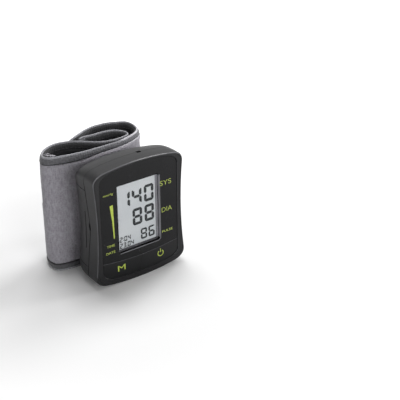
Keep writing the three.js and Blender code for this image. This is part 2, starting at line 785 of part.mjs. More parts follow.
function makeManifold(pumpZ) {
  const { x, y, radius, armRadius, bore } = manifold;
  const armEnd = pumpX - pump.headRadius - gap;
  const portEnd = innerBack - gap;
  const sensorEnd = boardBack + gap + sensor.height + gap;
  const socket = pump.nippleRadius + gap;
  const sensorSocket = sensor.nippleRadius + gap;
  const portSocket = airPort.radius + gap;
  let body = rodZ(radius, x, y, manifold.bottom, manifoldTop, 18);
  body = body.add(rodX(armRadius, y, pumpZ, x, armEnd));
  body = body.add(rodZ(armRadius, x, valveY, valveZ - armRadius, valveZ + armRadius));
  body = body.add(rodX(armRadius, valveY, valveZ, x, valveLeft - gap));
  body = body.add(rodY(armRadius, sensor.x, sensor.z, sensorEnd, y));
  body = body.add(rodY(manifold.portArmRadius, x, airPort.height, y, portEnd));
  body = body.subtract(rodZ(bore, x, y, manifold.bottom + armRadius / 2, manifoldTop - armRadius / 2, 12));
  body = body.subtract(rodX(socket, y, pumpZ, x + radius, armEnd + overrun));
  body = body.subtract(rodX(bore, y, pumpZ, x, x + radius + gap));
  body = body.subtract(rodX(socket, valveY, valveZ, x + radius, valveLeft + overrun));
  body = body.subtract(rodX(bore, valveY, valveZ, x, x + radius + gap));
  body = body.subtract(rodY(bore, x, valveZ, y, valveY));
  body = body.subtract(rodY(sensorSocket, sensor.x, sensor.z, 0, y - radius));
  body = body.subtract(rodY(bore, sensor.x, sensor.z, y - radius - gap, y));
  body = body.subtract(rodY(portSocket, x, airPort.height, portEnd - airPort.reach + gap, portEnd + overrun));
  return body.subtract(rodY(bore, x, airPort.height, y, portEnd));
}

// The cuff's rolled path seen from above, from its tucked inner end to its free outer end.
// Each row has the share of the half span across, the number of band layers between it and
// the wall against the module, the share of the open depth, and how far it leans and pads.
const rollShares = [
  [-0.215, 2, 0.386, 0, 0],
  [-0.12, 2, 0.435, 0, 0],
  [0.03, 2, 0.41, 0, 0],
  [0.18, 2, 0.415, 0, 0],
  [0.31, 2, 0.395, 0, 0],
  [0.42, 2, 0.34, 0, 0],
  [0.505, 1.5, 0.3, 0, 0],
  [0.545, 1, 0.235, 0.1, 0],
  [0.535, 1, 0.125, 0.2, 0],
  [0.475, 1, 0.045, 0.4, 0],
  [0.38, 1, 0.005, 0.4, 0],
  [0.27, 1, 0, 0.4, 0],
  [0.17, 1, 0.015, 0.3, 0],
  [0.08, 1, 0.055, 0.1, 0],
  [0, 1, 0.115, 0, 0],
  [-0.075, 1, 0.205, 0, 0],
  [-0.145, 1, 0.305, 0, 0],
  [-0.215, 1, 0.405, 0, 0],
  [-0.29, 1, 0.495, 0, 0],
  [-0.365, 1, 0.565, 0, 0],
  [-0.45, 1, 0.62, 0, 0],
  [-0.545, 1, 0.655, 0, 0],
  [-0.635, 1, 0.66, 0, 0.15],
  [-0.72, 1, 0.635, 0, 0.3],
  [-0.8, 1, 0.575, 0, 0.45],
  [-0.875, 1, 0.48, 0.3, 0.6],
  [-0.935, 0.7, 0.4, 0.8, 0.7],
  [-0.97, 0.4, 0.32, 1.3, 0.8],
  [-0.975, 0.1, 0.25, 1.7, 0.9],
  [-0.935, 0, 0.17, 2, 1],
  [-0.85, 0, 0.105, 2, 1],
  [-0.73, 0, 0.06, 1.7, 1],
  [-0.58, 0, 0.025, 1.1, 1],
  [-0.42, 0, 0.005, 0.5, 1],
  [-0.25, 0, 0, 0.35, 1],
  [-0.05, 0, 0, 0.35, 1],
  [0.15, 0, 0, 0.35, 1],
  [0.3, 0, 0.02, 0.6, 1],
  [0.42, 0, 0.065, 0.9, 0.85],
  [0.54, 0, 0.13, 1, 0.7],
  [0.645, 0, 0.215, 0.8, 0.6],
  [0.725, 0, 0.33, 0.5, 0.5],
  [0.78, 0, 0.47, 0.2, 0.4],
  [0.8, 0.3, 0.6, 0, 0.3],
  [0.785, 0.7, 0.72, 0, 0.2],
  [0.735, 1, 0.82, 0, 0.1],
  [0.655, 1, 0.9, 0, 0],
];

const flapShares = [
  [0.645, 1, 0.905, 0, 0],
  [0.55, 1, 0.96, 0, 0],
  [0.42, 1, 1.005, 0, 0],
  [0.27, 1, 1.02, 0, 0],
  [0.13, 1, 0.995, 0, 0],
  [0, 1, 0.92, 0, 0],
  [-0.12, 1, 0.82, 0, 0],
  [-0.225, 1.1, 0.73, 0, 0],
  [-0.31, 1.3, 0.675, 0, 0],
  [-0.385, 1.5, 0.64, 0, 0],
];

const tabShares = [
  [-0.395, 1.4, 0.625],
  [-0.47, 1.6, 0.63],
  [-0.545, 1.6, 0.655],
  [-0.635, 1.6, 0.67],
  [-0.725, 1.65, 0.655],
];

function rollPoints(shares) {
  return shares.map(([across, layers, open, leanShare = 0, padShare = 0]) => ({
    x: across * cuff.halfSpan,
    y: wallLine + layers * layerPitch + open * cuff.openDepth,
    leanShare,
    padShare,
  }));
}

// Stations along the path, with the direction of the band's outer face at each
function stationsAlong(shares, perRow) {
  const rows = rollPoints(shares);
  const route = rows.map((row) => new THREE.Vector3(row.x, row.y, 0));
  const curve = new THREE.CatmullRomCurve3(route, false, 'centripetal');
  const count = (rows.length - 1) * perRow;
  return Array.from({ length: count + 1 }, (_, i) => {
    const t = i / count;
    const at = t * (rows.length - 1);
    const row = Math.min(Math.floor(at), rows.length - 2);
    const part = at - row;
    const point = curve.getPoint(t);
    const along = curve.getTangent(t);
    return {
      x: point.x,
      y: point.y,
      outX: along.y,
      outY: -along.x,
      leanShare: THREE.MathUtils.lerp(rows[row].leanShare, rows[row + 1].leanShare, part),
      padShare: THREE.MathUtils.lerp(rows[row].padShare, rows[row + 1].padShare, part),
    };
  });
}

// Sweeps a closed section, given across the band and up its height, along the stations
function sweep(stations, section) {
  const loops = stations.map((station) => section(station));
  const count = loops[0].length;
  const vertices = [];
  stations.forEach((s, level) => {
    for (const [across, z] of loops[level]) {
      const lean = (cuff.lean * s.leanShare * (2 * z - cuff.height)) / cuff.height;
      vertices.push(new THREE.Vector3(s.x + s.outX * across, s.y + s.outY * across + lean, z));
    }
  });
  const faces = [];
  for (let level = 0; level < stations.length - 1; level++) {
    for (let i = 0; i < count; i++) {
      const next = (i + 1) % count;
      const a = level * count + i;
      const b = level * count + next;
      faces.push(a, b + count, b, a, a + count, b + count);
    }
  }
  const last = (stations.length - 1) * count;
  const flat = (loop) => loop.map(([across, z]) => new THREE.Vector2(across, z));
  for (const [a, b, c] of THREE.ShapeUtils.triangulateShape(flat(loops[0]), [])) faces.push(a, b, c);
  for (const [a, b, c] of THREE.ShapeUtils.triangulateShape(flat(loops.at(-1)), [])) {
    faces.push(last + a, last + c, last + b);
  }
  const geometry = new THREE.BufferGeometry().setFromPoints(vertices);
  geometry.setIndex(faces);
  return toSolid(geometry);
}

const swellShares = [[0, 0], [0.09, 0.7], [0.22, 1], [0.78, 1], [0.91, 0.7], [1, 0]];

// One of the two fabric layers: pressed flat inside the edge bindings and swollen in between
function fabricLayer(sideSign) {
  const low = cuff.binding + gap;
  const legEnd = cuff.hem + gap;
  const pressed = gap / 2 + cuff.pressed;
  const span = cuff.height - 2 * legEnd;
  return ({ padShare }) => {
    const swell = ((cuff.padded - plain) / 2) * padShare;
    const rows = swellShares.map(([up, out]) => [plain / 2 + swell * out, legEnd + up * span]);
    const outer = [[pressed, low], [pressed, legEnd], ...rows, [pressed, cuff.height - legEnd],
      [pressed, cuff.height - low]];
    const inner = rows.map(([half, z]) => [half - cuff.sheet, z]).reverse();
    const loop = [...outer, [gap / 2, cuff.height - low], ...inner, [gap / 2, low]];
    const placed = loop.map(([half, z]) => [sideSign * half, z]);
    return sideSign > 0 ? placed : placed.reverse();
  };
}

// Binding tape folded over an edge, with a leg on each side of the two pressed layers
function bindingTape(atTop) {
  const outer = plain / 2;
  const inner = outer - cuff.binding;
  const loop = [[-outer, 0], [outer, 0], [outer, cuff.hem], [inner, cuff.hem], [inner, cuff.binding],
    [-inner, cuff.binding], [-inner, cuff.hem], [-outer, cuff.hem]];
  if (!atTop) return () => loop;
  return () => loop.map(([across, z]) => [across, cuff.height - z]).reverse();
}

function strip(near, far, low, high) {
  return () => [[near, low], [far, low], [far, high], [near, high]];
}

function makeCuff() {
  const band = stationsAlong(rollShares, 1);
  const flap = stationsAlong(flapShares, 1);
  const half = cuff.padded / 2;
  const portHole = (radius) => rodY(radius, 0, airPort.height, 0, wallLine, 16);
  const cover = sweep(band, fabricLayer(1)).subtract(portHole(airPort.radius + gap));
  add('cuff_cover', toGeometry(cover), 'coverFabric');
  add('cuff_binding_top', toGeometry(sweep(band, bindingTape(true))), 'coverFabric');
  add('cuff_binding_bottom', toGeometry(sweep(band, bindingTape(false))), 'coverFabric');
  add('cuff_lining', toGeometry(sweep(band, fabricLayer(-1))), 'liningFabric');
  add('flap_cover', toGeometry(sweep(flap, fabricLayer(1))), 'coverFabric');
  add('flap_lining', toGeometry(sweep(flap, fabricLayer(-1))), 'liningFabric');
  add('flap_binding_top', toGeometry(sweep(flap, bindingTape(true))), 'coverFabric');
  add('flap_binding_bottom', toGeometry(sweep(flap, bindingTape(false))), 'coverFabric');

  const padded = band.filter((station) => station.padShare >= 1);
  const stiffenerOut = half - cuff.sheet - gap;
  const bladderOut = stiffenerOut - cuff.stiffener - gap;
  const stiffener = sweep(padded, strip(stiffenerOut - cuff.stiffener, stiffenerOut,
    cuff.hem + cuff.stiffenerInset, cuff.height - cuff.hem - cuff.stiffenerInset));
  add('cuff_stiffener', toGeometry(stiffener.subtract(portHole(airPort.radius + gap))), 'innerWhite');
  const film = sweep(padded.slice(1, -1), strip(bladderOut - cuff.bladder, bladderOut,
    cuff.hem + cuff.bladderInset, cuff.height - cuff.hem - cuff.bladderInset));
  const portTip = innerBack - gap - airPort.reach + gap;
  const filmMiddle = wallLine - bladderOut + cuff.bladder / 2;
  const port = rodY(airPort.radius, 0, airPort.height, portTip + gap, filmMiddle, 16)
    .subtract(rodY(airPort.radius / 2, 0, airPort.height, portTip - overrun, filmMiddle, 12));
  add('air_bladder', toGeometry(film.add(port)), 'bladderFilm');

  const tab = stationsAlong(tabShares, 2);
  const tabHalf = hookTab.thickness / 2;
  const low = hookTab.inset;
  const high = cuff.height - hookTab.inset;
  const tabSection = (station, place) => {
    const left = (tab.length - 1 - place) / (tab.length - 1);
    const cut = hookTab.cornerRadius * Math.max(0, 1 - 2 * left) ** 2;
    return [[-tabHalf, low + cut], [tabHalf, low + cut], [tabHalf, high - cut], [-tabHalf, high - cut]];
  };
  add('hook_tab', toGeometry(sweep(tab, (station) => tabSection(station, tab.indexOf(station)))),
    'liningFabric');
}

add('front_case', toGeometry(makeFrontCase()), 'caseBlack');
add('rear_case', toGeometry(makeRearCase()), 'caseBlack');
add('battery_cover', toGeometry(makeBatteryCover()), 'caseBlack');
add('fascia_panel', toGeometry(makeFascia()), 'fasciaBlack');
add('memory_key', toGeometry(makeKey(-1)), 'fasciaBlack');
add('power_key', toGeometry(makeKey(1)), 'fasciaBlack');
makeDisplayParts();
add('main_board', toGeometry(makeBoard()), 'boardGreen');
add('memory_switch', toGeometry(makeSwitch(-1)), 'componentBlack');
add('power_switch', toGeometry(makeSwitch(1)), 'componentBlack');
add('battery_front', toGeometry(makeBattery(frontCellX, battery.frontY, true)), 'cellJacket');
add('battery_rear', toGeometry(makeBattery(rearCellX, battery.rearY, false)), 'cellJacket');
makeContacts();
const pumpNippleZ = makePump();
add('release_valve', toGeometry(makeValve()), 'steel');
add('air_manifold', toGeometry(makeManifold(pumpNippleZ)), 'silicone');

const sensorFront = boardBack + gap;
const sensorHalf = sensor.size / 2;
const sensorBody = box(sensor.x - sensorHalf, sensor.x + sensorHalf, sensorFront, sensorFront + sensor.height,
  sensor.z - sensorHalf, sensor.z + sensorHalf);
add('pressure_sensor', toGeometry(sensorBody.add(rodY(sensor.nippleRadius, sensor.x, sensor.z, sensorFront,
  sensorFront + sensor.height + sensor.nippleLength, 14))), 'innerWhite');

add('buzzer', toGeometry(rodY(buzzer.radius, buzzerX, buzzerZ, sensorFront, sensorFront + buzzer.height)
  .subtract(rodY(buzzer.holeRadius, buzzerX, buzzerZ, sensorFront + buzzer.height - buzzer.holeDepth,
    sensorFront + buzzer.height + overrun, 10))), 'componentBlack');

add('controller_chip', toGeometry(box(chip.x - chip.size / 2, chip.x + chip.size / 2, sensorFront,
  sensorFront + chip.height, chip.z - chip.size / 2, chip.z + chip.size / 2)), 'componentBlack');

screwPlaces.forEach(([x, z], i) => {
  const head = screw.seat + gap;
  const body = rodY(screw.headRadius, x, z, head, head + screw.headHeight, 16)
    .add(rodY(screw.shankRadius, x, z, head - screw.length, head + gap, 12));
  add(`case_screw_${i + 1}`, toGeometry(body), 'steel');
});

const plateShape = roundedRect(-plate.width / 2, plate.width / 2, plate.bottom, plateTop, plate.corner);
add('cuff_plate', toGeometry(slab(plateShape, plateFront, plateBack)
  .subtract(rodY(airPort.radius + gap, 0, airPort.height, 0, plateBack + overrun, 16))), 'caseBlack');

makeCuff();

export default monitor;
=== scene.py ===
import math
import bpy
import bmesh
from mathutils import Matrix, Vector, noise
from mathutils.geometry import tessellate_polygon


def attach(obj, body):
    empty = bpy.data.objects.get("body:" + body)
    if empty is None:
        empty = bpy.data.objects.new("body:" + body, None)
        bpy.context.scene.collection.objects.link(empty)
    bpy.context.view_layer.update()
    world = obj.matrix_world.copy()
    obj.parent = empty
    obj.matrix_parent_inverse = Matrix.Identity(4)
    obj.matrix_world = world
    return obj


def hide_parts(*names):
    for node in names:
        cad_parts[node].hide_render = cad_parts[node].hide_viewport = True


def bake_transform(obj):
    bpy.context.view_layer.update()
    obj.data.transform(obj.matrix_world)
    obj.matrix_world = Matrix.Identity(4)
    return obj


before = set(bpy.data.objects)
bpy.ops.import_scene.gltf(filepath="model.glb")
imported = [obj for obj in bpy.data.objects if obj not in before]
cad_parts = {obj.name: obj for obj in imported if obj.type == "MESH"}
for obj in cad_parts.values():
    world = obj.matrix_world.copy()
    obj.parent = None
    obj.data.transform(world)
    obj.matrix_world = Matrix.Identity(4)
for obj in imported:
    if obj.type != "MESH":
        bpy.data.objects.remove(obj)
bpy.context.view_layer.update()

mm = 0.001
faceY = -14.75  # the display face's plane in the part's frame, in mm


def spot(x, y, z):  # millimetres from the middle of the face's foot, as a place in the part's frame
    return Vector((x, y + faceY, z)) * mm


def clamp(value, low=0, high=1):
    return max(min(value, high), low)


def waver(*place):  # smooth noise between about -1 and 1
    return noise.noise(Vector(place))


def addObject(name, data):
    holder = bpy.data.objects.new(name, data)
    bpy.context.scene.collection.objects.link(holder)
    return holder


def srgb(hexCode):  # a hex colour as the linear values that Blender works in
    channels = [int(hexCode[i:i + 2], 16) / 255 for i in (1, 3, 5)]
    return (*[c / 12.92 if c <= 0.04045 else ((c + 0.055) / 1.055) ** 2.4 for c in channels], 1.0)


def addNode(tree, kind, settings=None, links=None):  # one node with its values and its incoming links
    node = tree.nodes.new("ShaderNode" + kind)
    for key, value in (settings or {}).items():
        if isinstance(key, int) or key in node.inputs:
            node.inputs[key].default_value = value
        else:
            setattr(node, key, value)
    for key, source in (links or {}).items():
        tree.links.new(source, node.inputs[key])
    return node


# Camera, light and floor
photoView = {"place": (-250.2, -386.9, 292.0), "pitch": 27.87, "yaw": 37.02, "focalPixels": 940.5}
lamps = {  # place, aim, size and power
    "softKey": ((0.2, 0.5, 1.45), (0, 0.02, 0.03), (0.7, 0.7), 12.5),
    "softStrip": ((0.9, 0.28, 0.9), (0, 0, 0.06), (0.4, 1.0), 7.5),
    "softFront": ((0, -1.3, 0.45), (0, 0, 0.03), (0.7, 0.7), 7.5),
    "softSide": ((1.1, -0.35, 0.5), (0, 0, 0.05), (0.3, 0.8), 4),
}
studio = {"glow": 0.12, "whiteFrom": 0.07, "whiteTo": 0.36, "liftNear": 0.03, "liftFar": 1.0}


def placeCamera():
    camera = bpy.data.cameras.new("photoCamera")
    camera.sensor_width = 36
    camera.lens = photoView["focalPixels"] / 400 * camera.sensor_width
    camera.clip_start, camera.clip_end = 0.01, 20
    holder = addObject("photoCamera", camera)
    pitch, yaw = math.radians(photoView["pitch"]), math.radians(photoView["yaw"])
    forward = Vector((math.sin(yaw) * math.cos(pitch), math.cos(yaw) * math.cos(pitch), -math.sin(pitch)))
    holder.location = spot(*photoView["place"])
    holder.rotation_euler = forward.to_track_quat("-Z", "Y").to_euler()
    bpy.context.scene.camera = holder


def seenRays(tree):  # 1 where the camera, a reflection or a clear surface looks, and 0 for plain light
    rays = addNode(tree, "LightPath")
    seen = rays.outputs["Is Camera Ray"]
    for other in ("Is Glossy Ray", "Is Transmission Ray"):
        seen = addNode(tree, "Math", {"operation": "MAXIMUM"}, {0: seen, 1: rays.outputs[other]}).outputs[0]
    return seen


def layStudio():
    scene = bpy.context.scene
    scene.view_settings.view_transform = "Standard"
    world = scene.world = bpy.data.worlds.new("studio")
    world.use_nodes = True
    tree = world.node_tree
    tree.nodes.clear()
    glow, white = (addNode(tree, "Background", {"Color": srgb("#ffffff"), "Strength": strength})
                   for strength in (studio["glow"], 1.0))
    mix = addNode(tree, "MixShader", links={0: seenRays(tree), 1: glow.outputs[0], 2: white.outputs[0]})
    addNode(tree, "OutputWorld", links={0: mix.outputs[0]})

    for name, (place, aim, size, power) in lamps.items():
        light = bpy.data.lights.new(name, "AREA")
        light.shape, light.size, light.size_y, light.energy = "RECTANGLE", *size, power
        holder = addObject(name, light)
        holder.location = place
        holder.rotation_euler = (Vector(aim) - Vector(place)).to_track_quat("-Z", "Y").to_euler()

    bpy.ops.mesh.primitive_plane_add(size=8, location=(0, 0, -0.00005))
    floor = bpy.context.object
    floor.name = "studioFloor"
    paper = bpy.data.materials.new("whitePaper")  # seamless paper, matt, with a painted glow for seen rays that burns it out to white away from the object and leaves the shadow near it unlifted
    paper.use_nodes = True
    tree = paper.node_tree
    tree.nodes.clear()
    where = addNode(tree, "TexCoord").outputs["Object"]
    reach = addNode(tree, "VectorMath", {"operation": "LENGTH"}, {0: where}).outputs["Value"]
    far = addNode(tree, "MapRange", {"From Min": studio["whiteFrom"], "From Max": studio["whiteTo"],
                                     "To Min": studio["liftNear"], "To Max": studio["liftFar"],
                                     "interpolation_type": "SMOOTHSTEP"}, {"Value": reach})
    lift = addNode(tree, "Math", {"operation": "MULTIPLY"}, {0: seenRays(tree), 1: far.outputs[0]})
    matt = addNode(tree, "BsdfDiffuse", {"Color": srgb("#f4f4f4")})
    glow = addNode(tree, "Emission", {"Color": srgb("#ffffff")}, {"Strength": lift.outputs[0]})
    both = addNode(tree, "AddShader", links={0: matt.outputs[0], 1: glow.outputs[0]})
    addNode(tree, "OutputMaterial", links={0: both.outputs[0]})
    floor.data.materials.append(paper)


placeCamera()
layStudio()
print("camera, light and floor are set")


# Materials
def startMaterial(name, colour, roughness, sockets=None, coordinates="Object"):
    material = bpy.data.materials.new(name)
    material.use_nodes = True
    tree = material.node_tree
    tree.nodes.clear()
    shader = addNode(tree, "BsdfPrincipled", {"Base Color": srgb(colour), "Roughness": roughness, "IOR": 1.5,
                                              **(sockets or {})})
    addNode(tree, "OutputMaterial", links={0: shader.outputs[0]})
    return material, tree, shader, addNode(tree, "TexCoord").outputs[coordinates]


def dress(tree, shader, field=None, tones=(), span=(0.35, 0.65), spread=(), relief=None, depth=0.0, strength=1.0):
    # field moves the colour between two tones and the roughness between two values, and relief is depth mm deep
    if tones:
        ramp = addNode(tree, "ValToRGB", links={0: field})
        for stop, place, tone in zip(ramp.color_ramp.elements, span, tones):
            stop.position, stop.color = place, srgb(tone)
        tree.links.new(ramp.outputs[0], shader.inputs["Base Color"])
    if spread:
        worn = addNode(tree, "MapRange", {"To Min": spread[0], "To Max": spread[1]}, {"Value": field})
        tree.links.new(worn.outputs[0], shader.inputs["Roughness"])
    if relief:
        bump = addNode(tree, "Bump", {"Strength": strength, "Distance": depth * mm}, {"Height": relief})
        tree.links.new(bump.outputs[0], shader.inputs["Normal"])


def speckled(name, base, rough, tones=(), cloud=(11, 2), grain=(0.5, 4), depth=0.02, spread=(), sockets=None):
    # the colour wanders in clouds and the surface rises in grains, each given as its size in mm and its detail
    material, tree, shader, where = startMaterial(name, base, rough, sockets)
    clouds, grains = (addNode(tree, "TexNoise", {"Scale": 1 / (size * mm), "Detail": detail},
                              {"Vector": where}).outputs["Fac"] if wanted else None
                      for wanted, (size, detail) in ((tones, cloud), (depth, grain)))
    dress(tree, shader, clouds, tones, spread=spread, relief=grains, depth=depth)
    return material


def mouldedPlastic(name, low, high, rough, grain=0.5, depth=0.02, shine=0.5):
    return speckled(name, low, rough, (low, high), (11, 2), (grain, 4), depth, (rough - 0.05, rough + 0.06),
                    {"Specular IOR Level": shine})


def patterned(name, base, rough, kind, settings, output, tones, span, depth):  # one pattern is tone and relief
    material, tree, shader, where = startMaterial(name, base, rough)
    field = addNode(tree, kind, settings, {"Vector": where}).outputs[output]
    dress(tree, shader, field, tones, span, relief=field, depth=depth)
    return material


def brushedMetal(name, low, high, rough, scale=0.3):
    material, tree, shader, where = startMaterial(name, low, rough, {"Metallic": 1.0})
    stretch = addNode(tree, "Mapping", {"Scale": (1, 1, 0.08)}, {"Vector": where})
    streak = addNode(tree, "TexNoise", {"Scale": 1 / (scale * mm), "Detail": 3},
                     {"Vector": stretch.outputs[0]}).outputs["Fac"]
    dress(tree, shader, streak, (low, high), spread=(rough - 0.08, rough + 0.1), relief=streak, depth=0.006)
    return material


def circuitBoard():  # glass-fibre laminate under green solder mask, with faint copper tracks
    material, tree, shader, where = startMaterial("solderMask", "#1f5a33", 0.35)
    tracks = addNode(tree, "TexBrick", {"Color1": srgb("#1f5a33"), "Color2": srgb("#276a3c"),
                                        "Mortar": srgb("#4d8a52"), "Scale": 1 / (9 * mm), "Mortar Size": 0.03},
                     {"Vector": where})
    tree.links.new(tracks.outputs["Color"], shader.inputs["Base Color"])
    dress(tree, shader, relief=tracks.outputs["Fac"], depth=0.03)
    return material


def cellSleeve():  # printed film sleeve of an alkaline cell: a dark body and a copper-coloured end
    material, tree, shader, where = startMaterial("printedCellSleeve", "#2d3034", 0.3, {"Metallic": 0.4})
    parts = addNode(tree, "SeparateXYZ", links={0: where})
    band = addNode(tree, "MapRange", {"From Min": 0.044, "From Max": 0.0443}, {"Value": parts.outputs["Z"]})
    grain = addNode(tree, "TexNoise", {"Scale": 1 / (3 * mm), "Detail": 2}, {"Vector": where}).outputs["Fac"]
    dress(tree, shader, band.outputs[0], ("#2d3034", "#b8763f"), (0.4, 0.6), relief=grain, depth=0.02)
    return material


# The fabrics' patterns lie in UV coordinates, which are millimetres along the band and across it
def loopKnit():  # brushed loop knit of nylon: thousands of tiny loops that scatter light in a soft grey
    material, tree, shader, where = startMaterial(
        "brushedLoopKnit", "#9b989f", 0.92, {"Sheen Weight": 0.25, "Sheen Roughness": 0.5}, "UV")
    loops = addNode(tree, "TexVoronoi", {"Scale": 1 / 0.8, "Randomness": 0.8}, {"Vector": where}).outputs["Distance"]
    stretch = addNode(tree, "Mapping", {"Scale": (1 / 0.9, 1 / 4, 1)}, {"Vector": where})
    streaks = addNode(tree, "TexNoise", {"Scale": 1, "Detail": 4}, {"Vector": stretch.outputs[0]})
    fibres = addNode(tree, "TexNoise", {"Scale": 1 / 0.35, "Detail": 3}, {"Vector": where})
    mixed = addNode(tree, "Math", {"operation": "MULTIPLY_ADD", 1: 0.45}, {0: loops, 2: streaks.outputs["Fac"]})
    height = addNode(tree, "Math", {"operation": "MULTIPLY_ADD", 1: 0.6}, {0: fibres.outputs["Fac"], 2: loops})
    dress(tree, shader, mixed.outputs[0], ("#8b888f", "#aaa7af"), (0.5, 0.95), (), height.outputs[0], 0.16, 0.8)
    return material


def wovenLining():  # smooth nylon weave next to the skin: dark, with a faint silky line at each thread
    material, tree, shader, where = startMaterial("smoothNylonWeave", "#28282b", 0.6, {"Sheen Weight": 0.15}, "UV")
    warp, weft = (addNode(tree, "TexWave", {"Scale": 1 / 3.6, "bands_direction": way},
                          {"Vector": where}).outputs["Fac"] for way in "XY")
    weave = addNode(tree, "Math", {"operation": "MULTIPLY"}, {0: warp, 1: weft})
    stretch = addNode(tree, "Mapping", {"Scale": (1 / 9, 1 / 3, 1)}, {"Vector": where})
    streaks = addNode(tree, "TexNoise", {"Scale": 1, "Detail": 3}, {"Vector": stretch.outputs[0]})
    dress(tree, shader, streaks.outputs["Fac"], ("#222225", "#36363a"), (0.35, 0.75), (), weave.outputs[0], 0.06, 0.7)
    return material


def bindingTape(name, base, low, high):  # woven polyester: ribs across it, which break the light up
    material, tree, shader, where = startMaterial(name, base, 0.78, {"Sheen Weight": 0.3, "Sheen Roughness": 0.4},
                                                  "UV")
    ribs = addNode(tree, "TexWave", {"Scale": 1 / 4.5, "Distortion": 1.2, "Detail": 2, "bands_direction": "X"},
                   {"Vector": where})
    worn = addNode(tree, "TexNoise", {"Scale": 1 / 1.1, "Detail": 4}, {"Vector": where}).outputs["Fac"]
    height = addNode(tree, "Math", {"operation": "MULTIPLY_ADD", 1: 0.8}, {0: worn, 2: ribs.outputs["Fac"]})
    dress(tree, shader, worn, (low, high), (0.35, 0.7), (), height.outputs[0], 0.12, 0.8)
    return material


# Black ABS, moulded against a spark-eroded tool: satin, with a fine grain that softens its highlights
caseAbs = mouldedPlastic("mouldedBlackAbs", "#121214", "#18181a", 0.46, 0.45, 0.018, 0.28)
# The same ABS along the rim, rubbed smooth by hands, and lightened as a painted highlight: a thin bright line
paintedHighlightAbs = mouldedPlastic("smoothAbsPaintedHighlight", "#4c4c50", "#5a5a5e", 0.14, 0.9, 0.003)
# Black polycarbonate panel, polished tool: smoother than the case, so it mirrors the room faintly
fasciaPc = mouldedPlastic("polishedBlackPolycarbonate", "#0c0c0e", "#101012", 0.26, 0.8, 0.004, 0.2)
# The same polycarbonate on the keys, worn a little smoother by fingers
keyPc = mouldedPlastic("fingerWornPolycarbonate", "#0c0c0e", "#111113", 0.3, 0.8, 0.004, 0.24)
# White ABS frame behind the glass, as moulded
whiteAbs = mouldedPlastic("mouldedWhiteAbs", "#cfcfc8", "#d9d9d2", 0.5)
# Glossy epoxy of the small components
epoxyBlack = mouldedPlastic("mouldedEpoxy", "#17171a", "#1e1e21", 0.45, 0.3, 0.01)
# Matt grey wall round the display, lightened to mid grey as painted light on the lit right side beside the glass
paintedLightWallGrey = mouldedPlastic("mattAbsPaintedLight", "#8c8c92", "#9a9aa0", 0.5)
# The same wall below the lit glass, darker as painted shade, so that it reads as a step and not as a slot
paintedShadeFootGrey = mouldedPlastic("mattAbsPaintedShade", "#4c4c50", "#56565a", 0.5)
# Raised edge of the opening, moulded with the panel and polished thin, and lightened as a painted highlight
paintedHighlightLip = mouldedPlastic("lipPolycarbonatePaintedHighlight", "#6c6c70", "#7a7a7e", 0.22, 0.8, 0.003)
# Polypropylene sheet inside the cuff, rolled: pale and satin
springySheet = mouldedPlastic("springySheet", "#b9b9b6", "#c6c6c2", 0.35)
# Clear acrylic, polished: only its reflection shows
windowAcrylic = speckled("polishedAcrylic", "#0d0d0e", 0.03, grain=(6, 1), depth=0.004,
                         sockets={"IOR": 1.49, "Alpha": 0.06})
# Reflective display: silver grey behind a matt polariser film
polariser = speckled("mattPolariser", "#d8dde0", 0.34, ("#d2d7db", "#dde1e4"), (16, 1), (0.4, 2), 0.004)
# Switched-on liquid crystal: almost black with a blue cast
litSegment = speckled("darkLiquidCrystal", "#151b1f", 0.4, ("#12181b", "#1a2125"), (2, 1), depth=0)
# Pad-printed lime ink: flat and slightly uneven, and brighter where the marks are larger
limeInk, limeBright = (speckled(name, low, 0.5, (low, high), (0.7, 2), (0.2, 2), 0.006) for name, low, high in (
    ("padPrintedLime", "#8f9c40", "#a3b14b"), ("padPrintedBrightLime", "#a9bb40", "#bccd55")))
# Translucent silicone, moulded: milky and soft
silicone = speckled("mouldedSilicone", "#c6c9c7", 0.5, ("#bdc1bf", "#d0d2d0"), (5, 2), (0.6, 3),
                    sockets={"IOR": 1.41, "Subsurface Weight": 0.2, "Subsurface Radius": (0.002, 0.002, 0.002)})
# Twisted polyester sewing thread, lighter than the tape
thread = speckled("twistedThread", "#4c4c50", 0.7, ("#434347", "#5e5e63"), (0.4, 2), (0.15, 2), 0.05)
# Carbon and silicone stripes of the display's connector, one every 0.5 mm
stripes = patterned("stripedElastomer", "#3c3c3e", 0.6, "TexWave", {"Scale": 1 / (3.2 * mm)}, "Fac",
                    ("#202022", "#8a8a88"), (0.45, 0.55), 0.02)
# Moulded nylon hooks: a field of tiny stiff points
hookNylon = patterned("mouldedHooks", "#1c1c1e", 0.55, "TexVoronoi", {"Scale": 1 / (1.1 * mm), "Randomness": 0.15},
                      "Distance", ("#3a3a3d", "#17171a"), (0.1, 0.5), -0.4)
# Nickel plate on the contacts and screws: bright, with short streaks, and the pump's drawn can, duller
nickelSteel = brushedMetal("nickelPlatedSteel", "#b9bbbe", "#cfd0d2", 0.28)
drawnSteel = brushedMetal("drawnSteelCan", "#a8aaad", "#bcbec0", 0.34, 0.5)
knit, lining = loopKnit(), wovenLining()
# The tape's outer leg is darker than the knit; its beaded edge is paler as a painted highlight, its inner leg is as
# dark as the lining as painted shade, and the foot's tape is darker as painted shade
tape = bindingTape("ribbedPolyesterTape", "#555558", "#505053", "#6a6a6e")
paintedShadeFootTape = bindingTape("ribbedFootTapePaintedShade", "#48484a", "#4a4a4c", "#606063")
paintedShadeTape = bindingTape("ribbedTapePaintedShade", "#212123", "#1b1b1d", "#2a2a2d")
paintedHighlightBead = bindingTape("ribbedTapeBeadPaintedHighlight", "#808084", "#8a8a8f", "#acacb2")
# Loops of the knit teased out by wear, and wisps of lining, coloured almost white as a painted highlight
paintedHighlightFibres = bindingTape("knitFibresPaintedHighlight", "#d2d0d6", "#bebcc2", "#e0dee4")

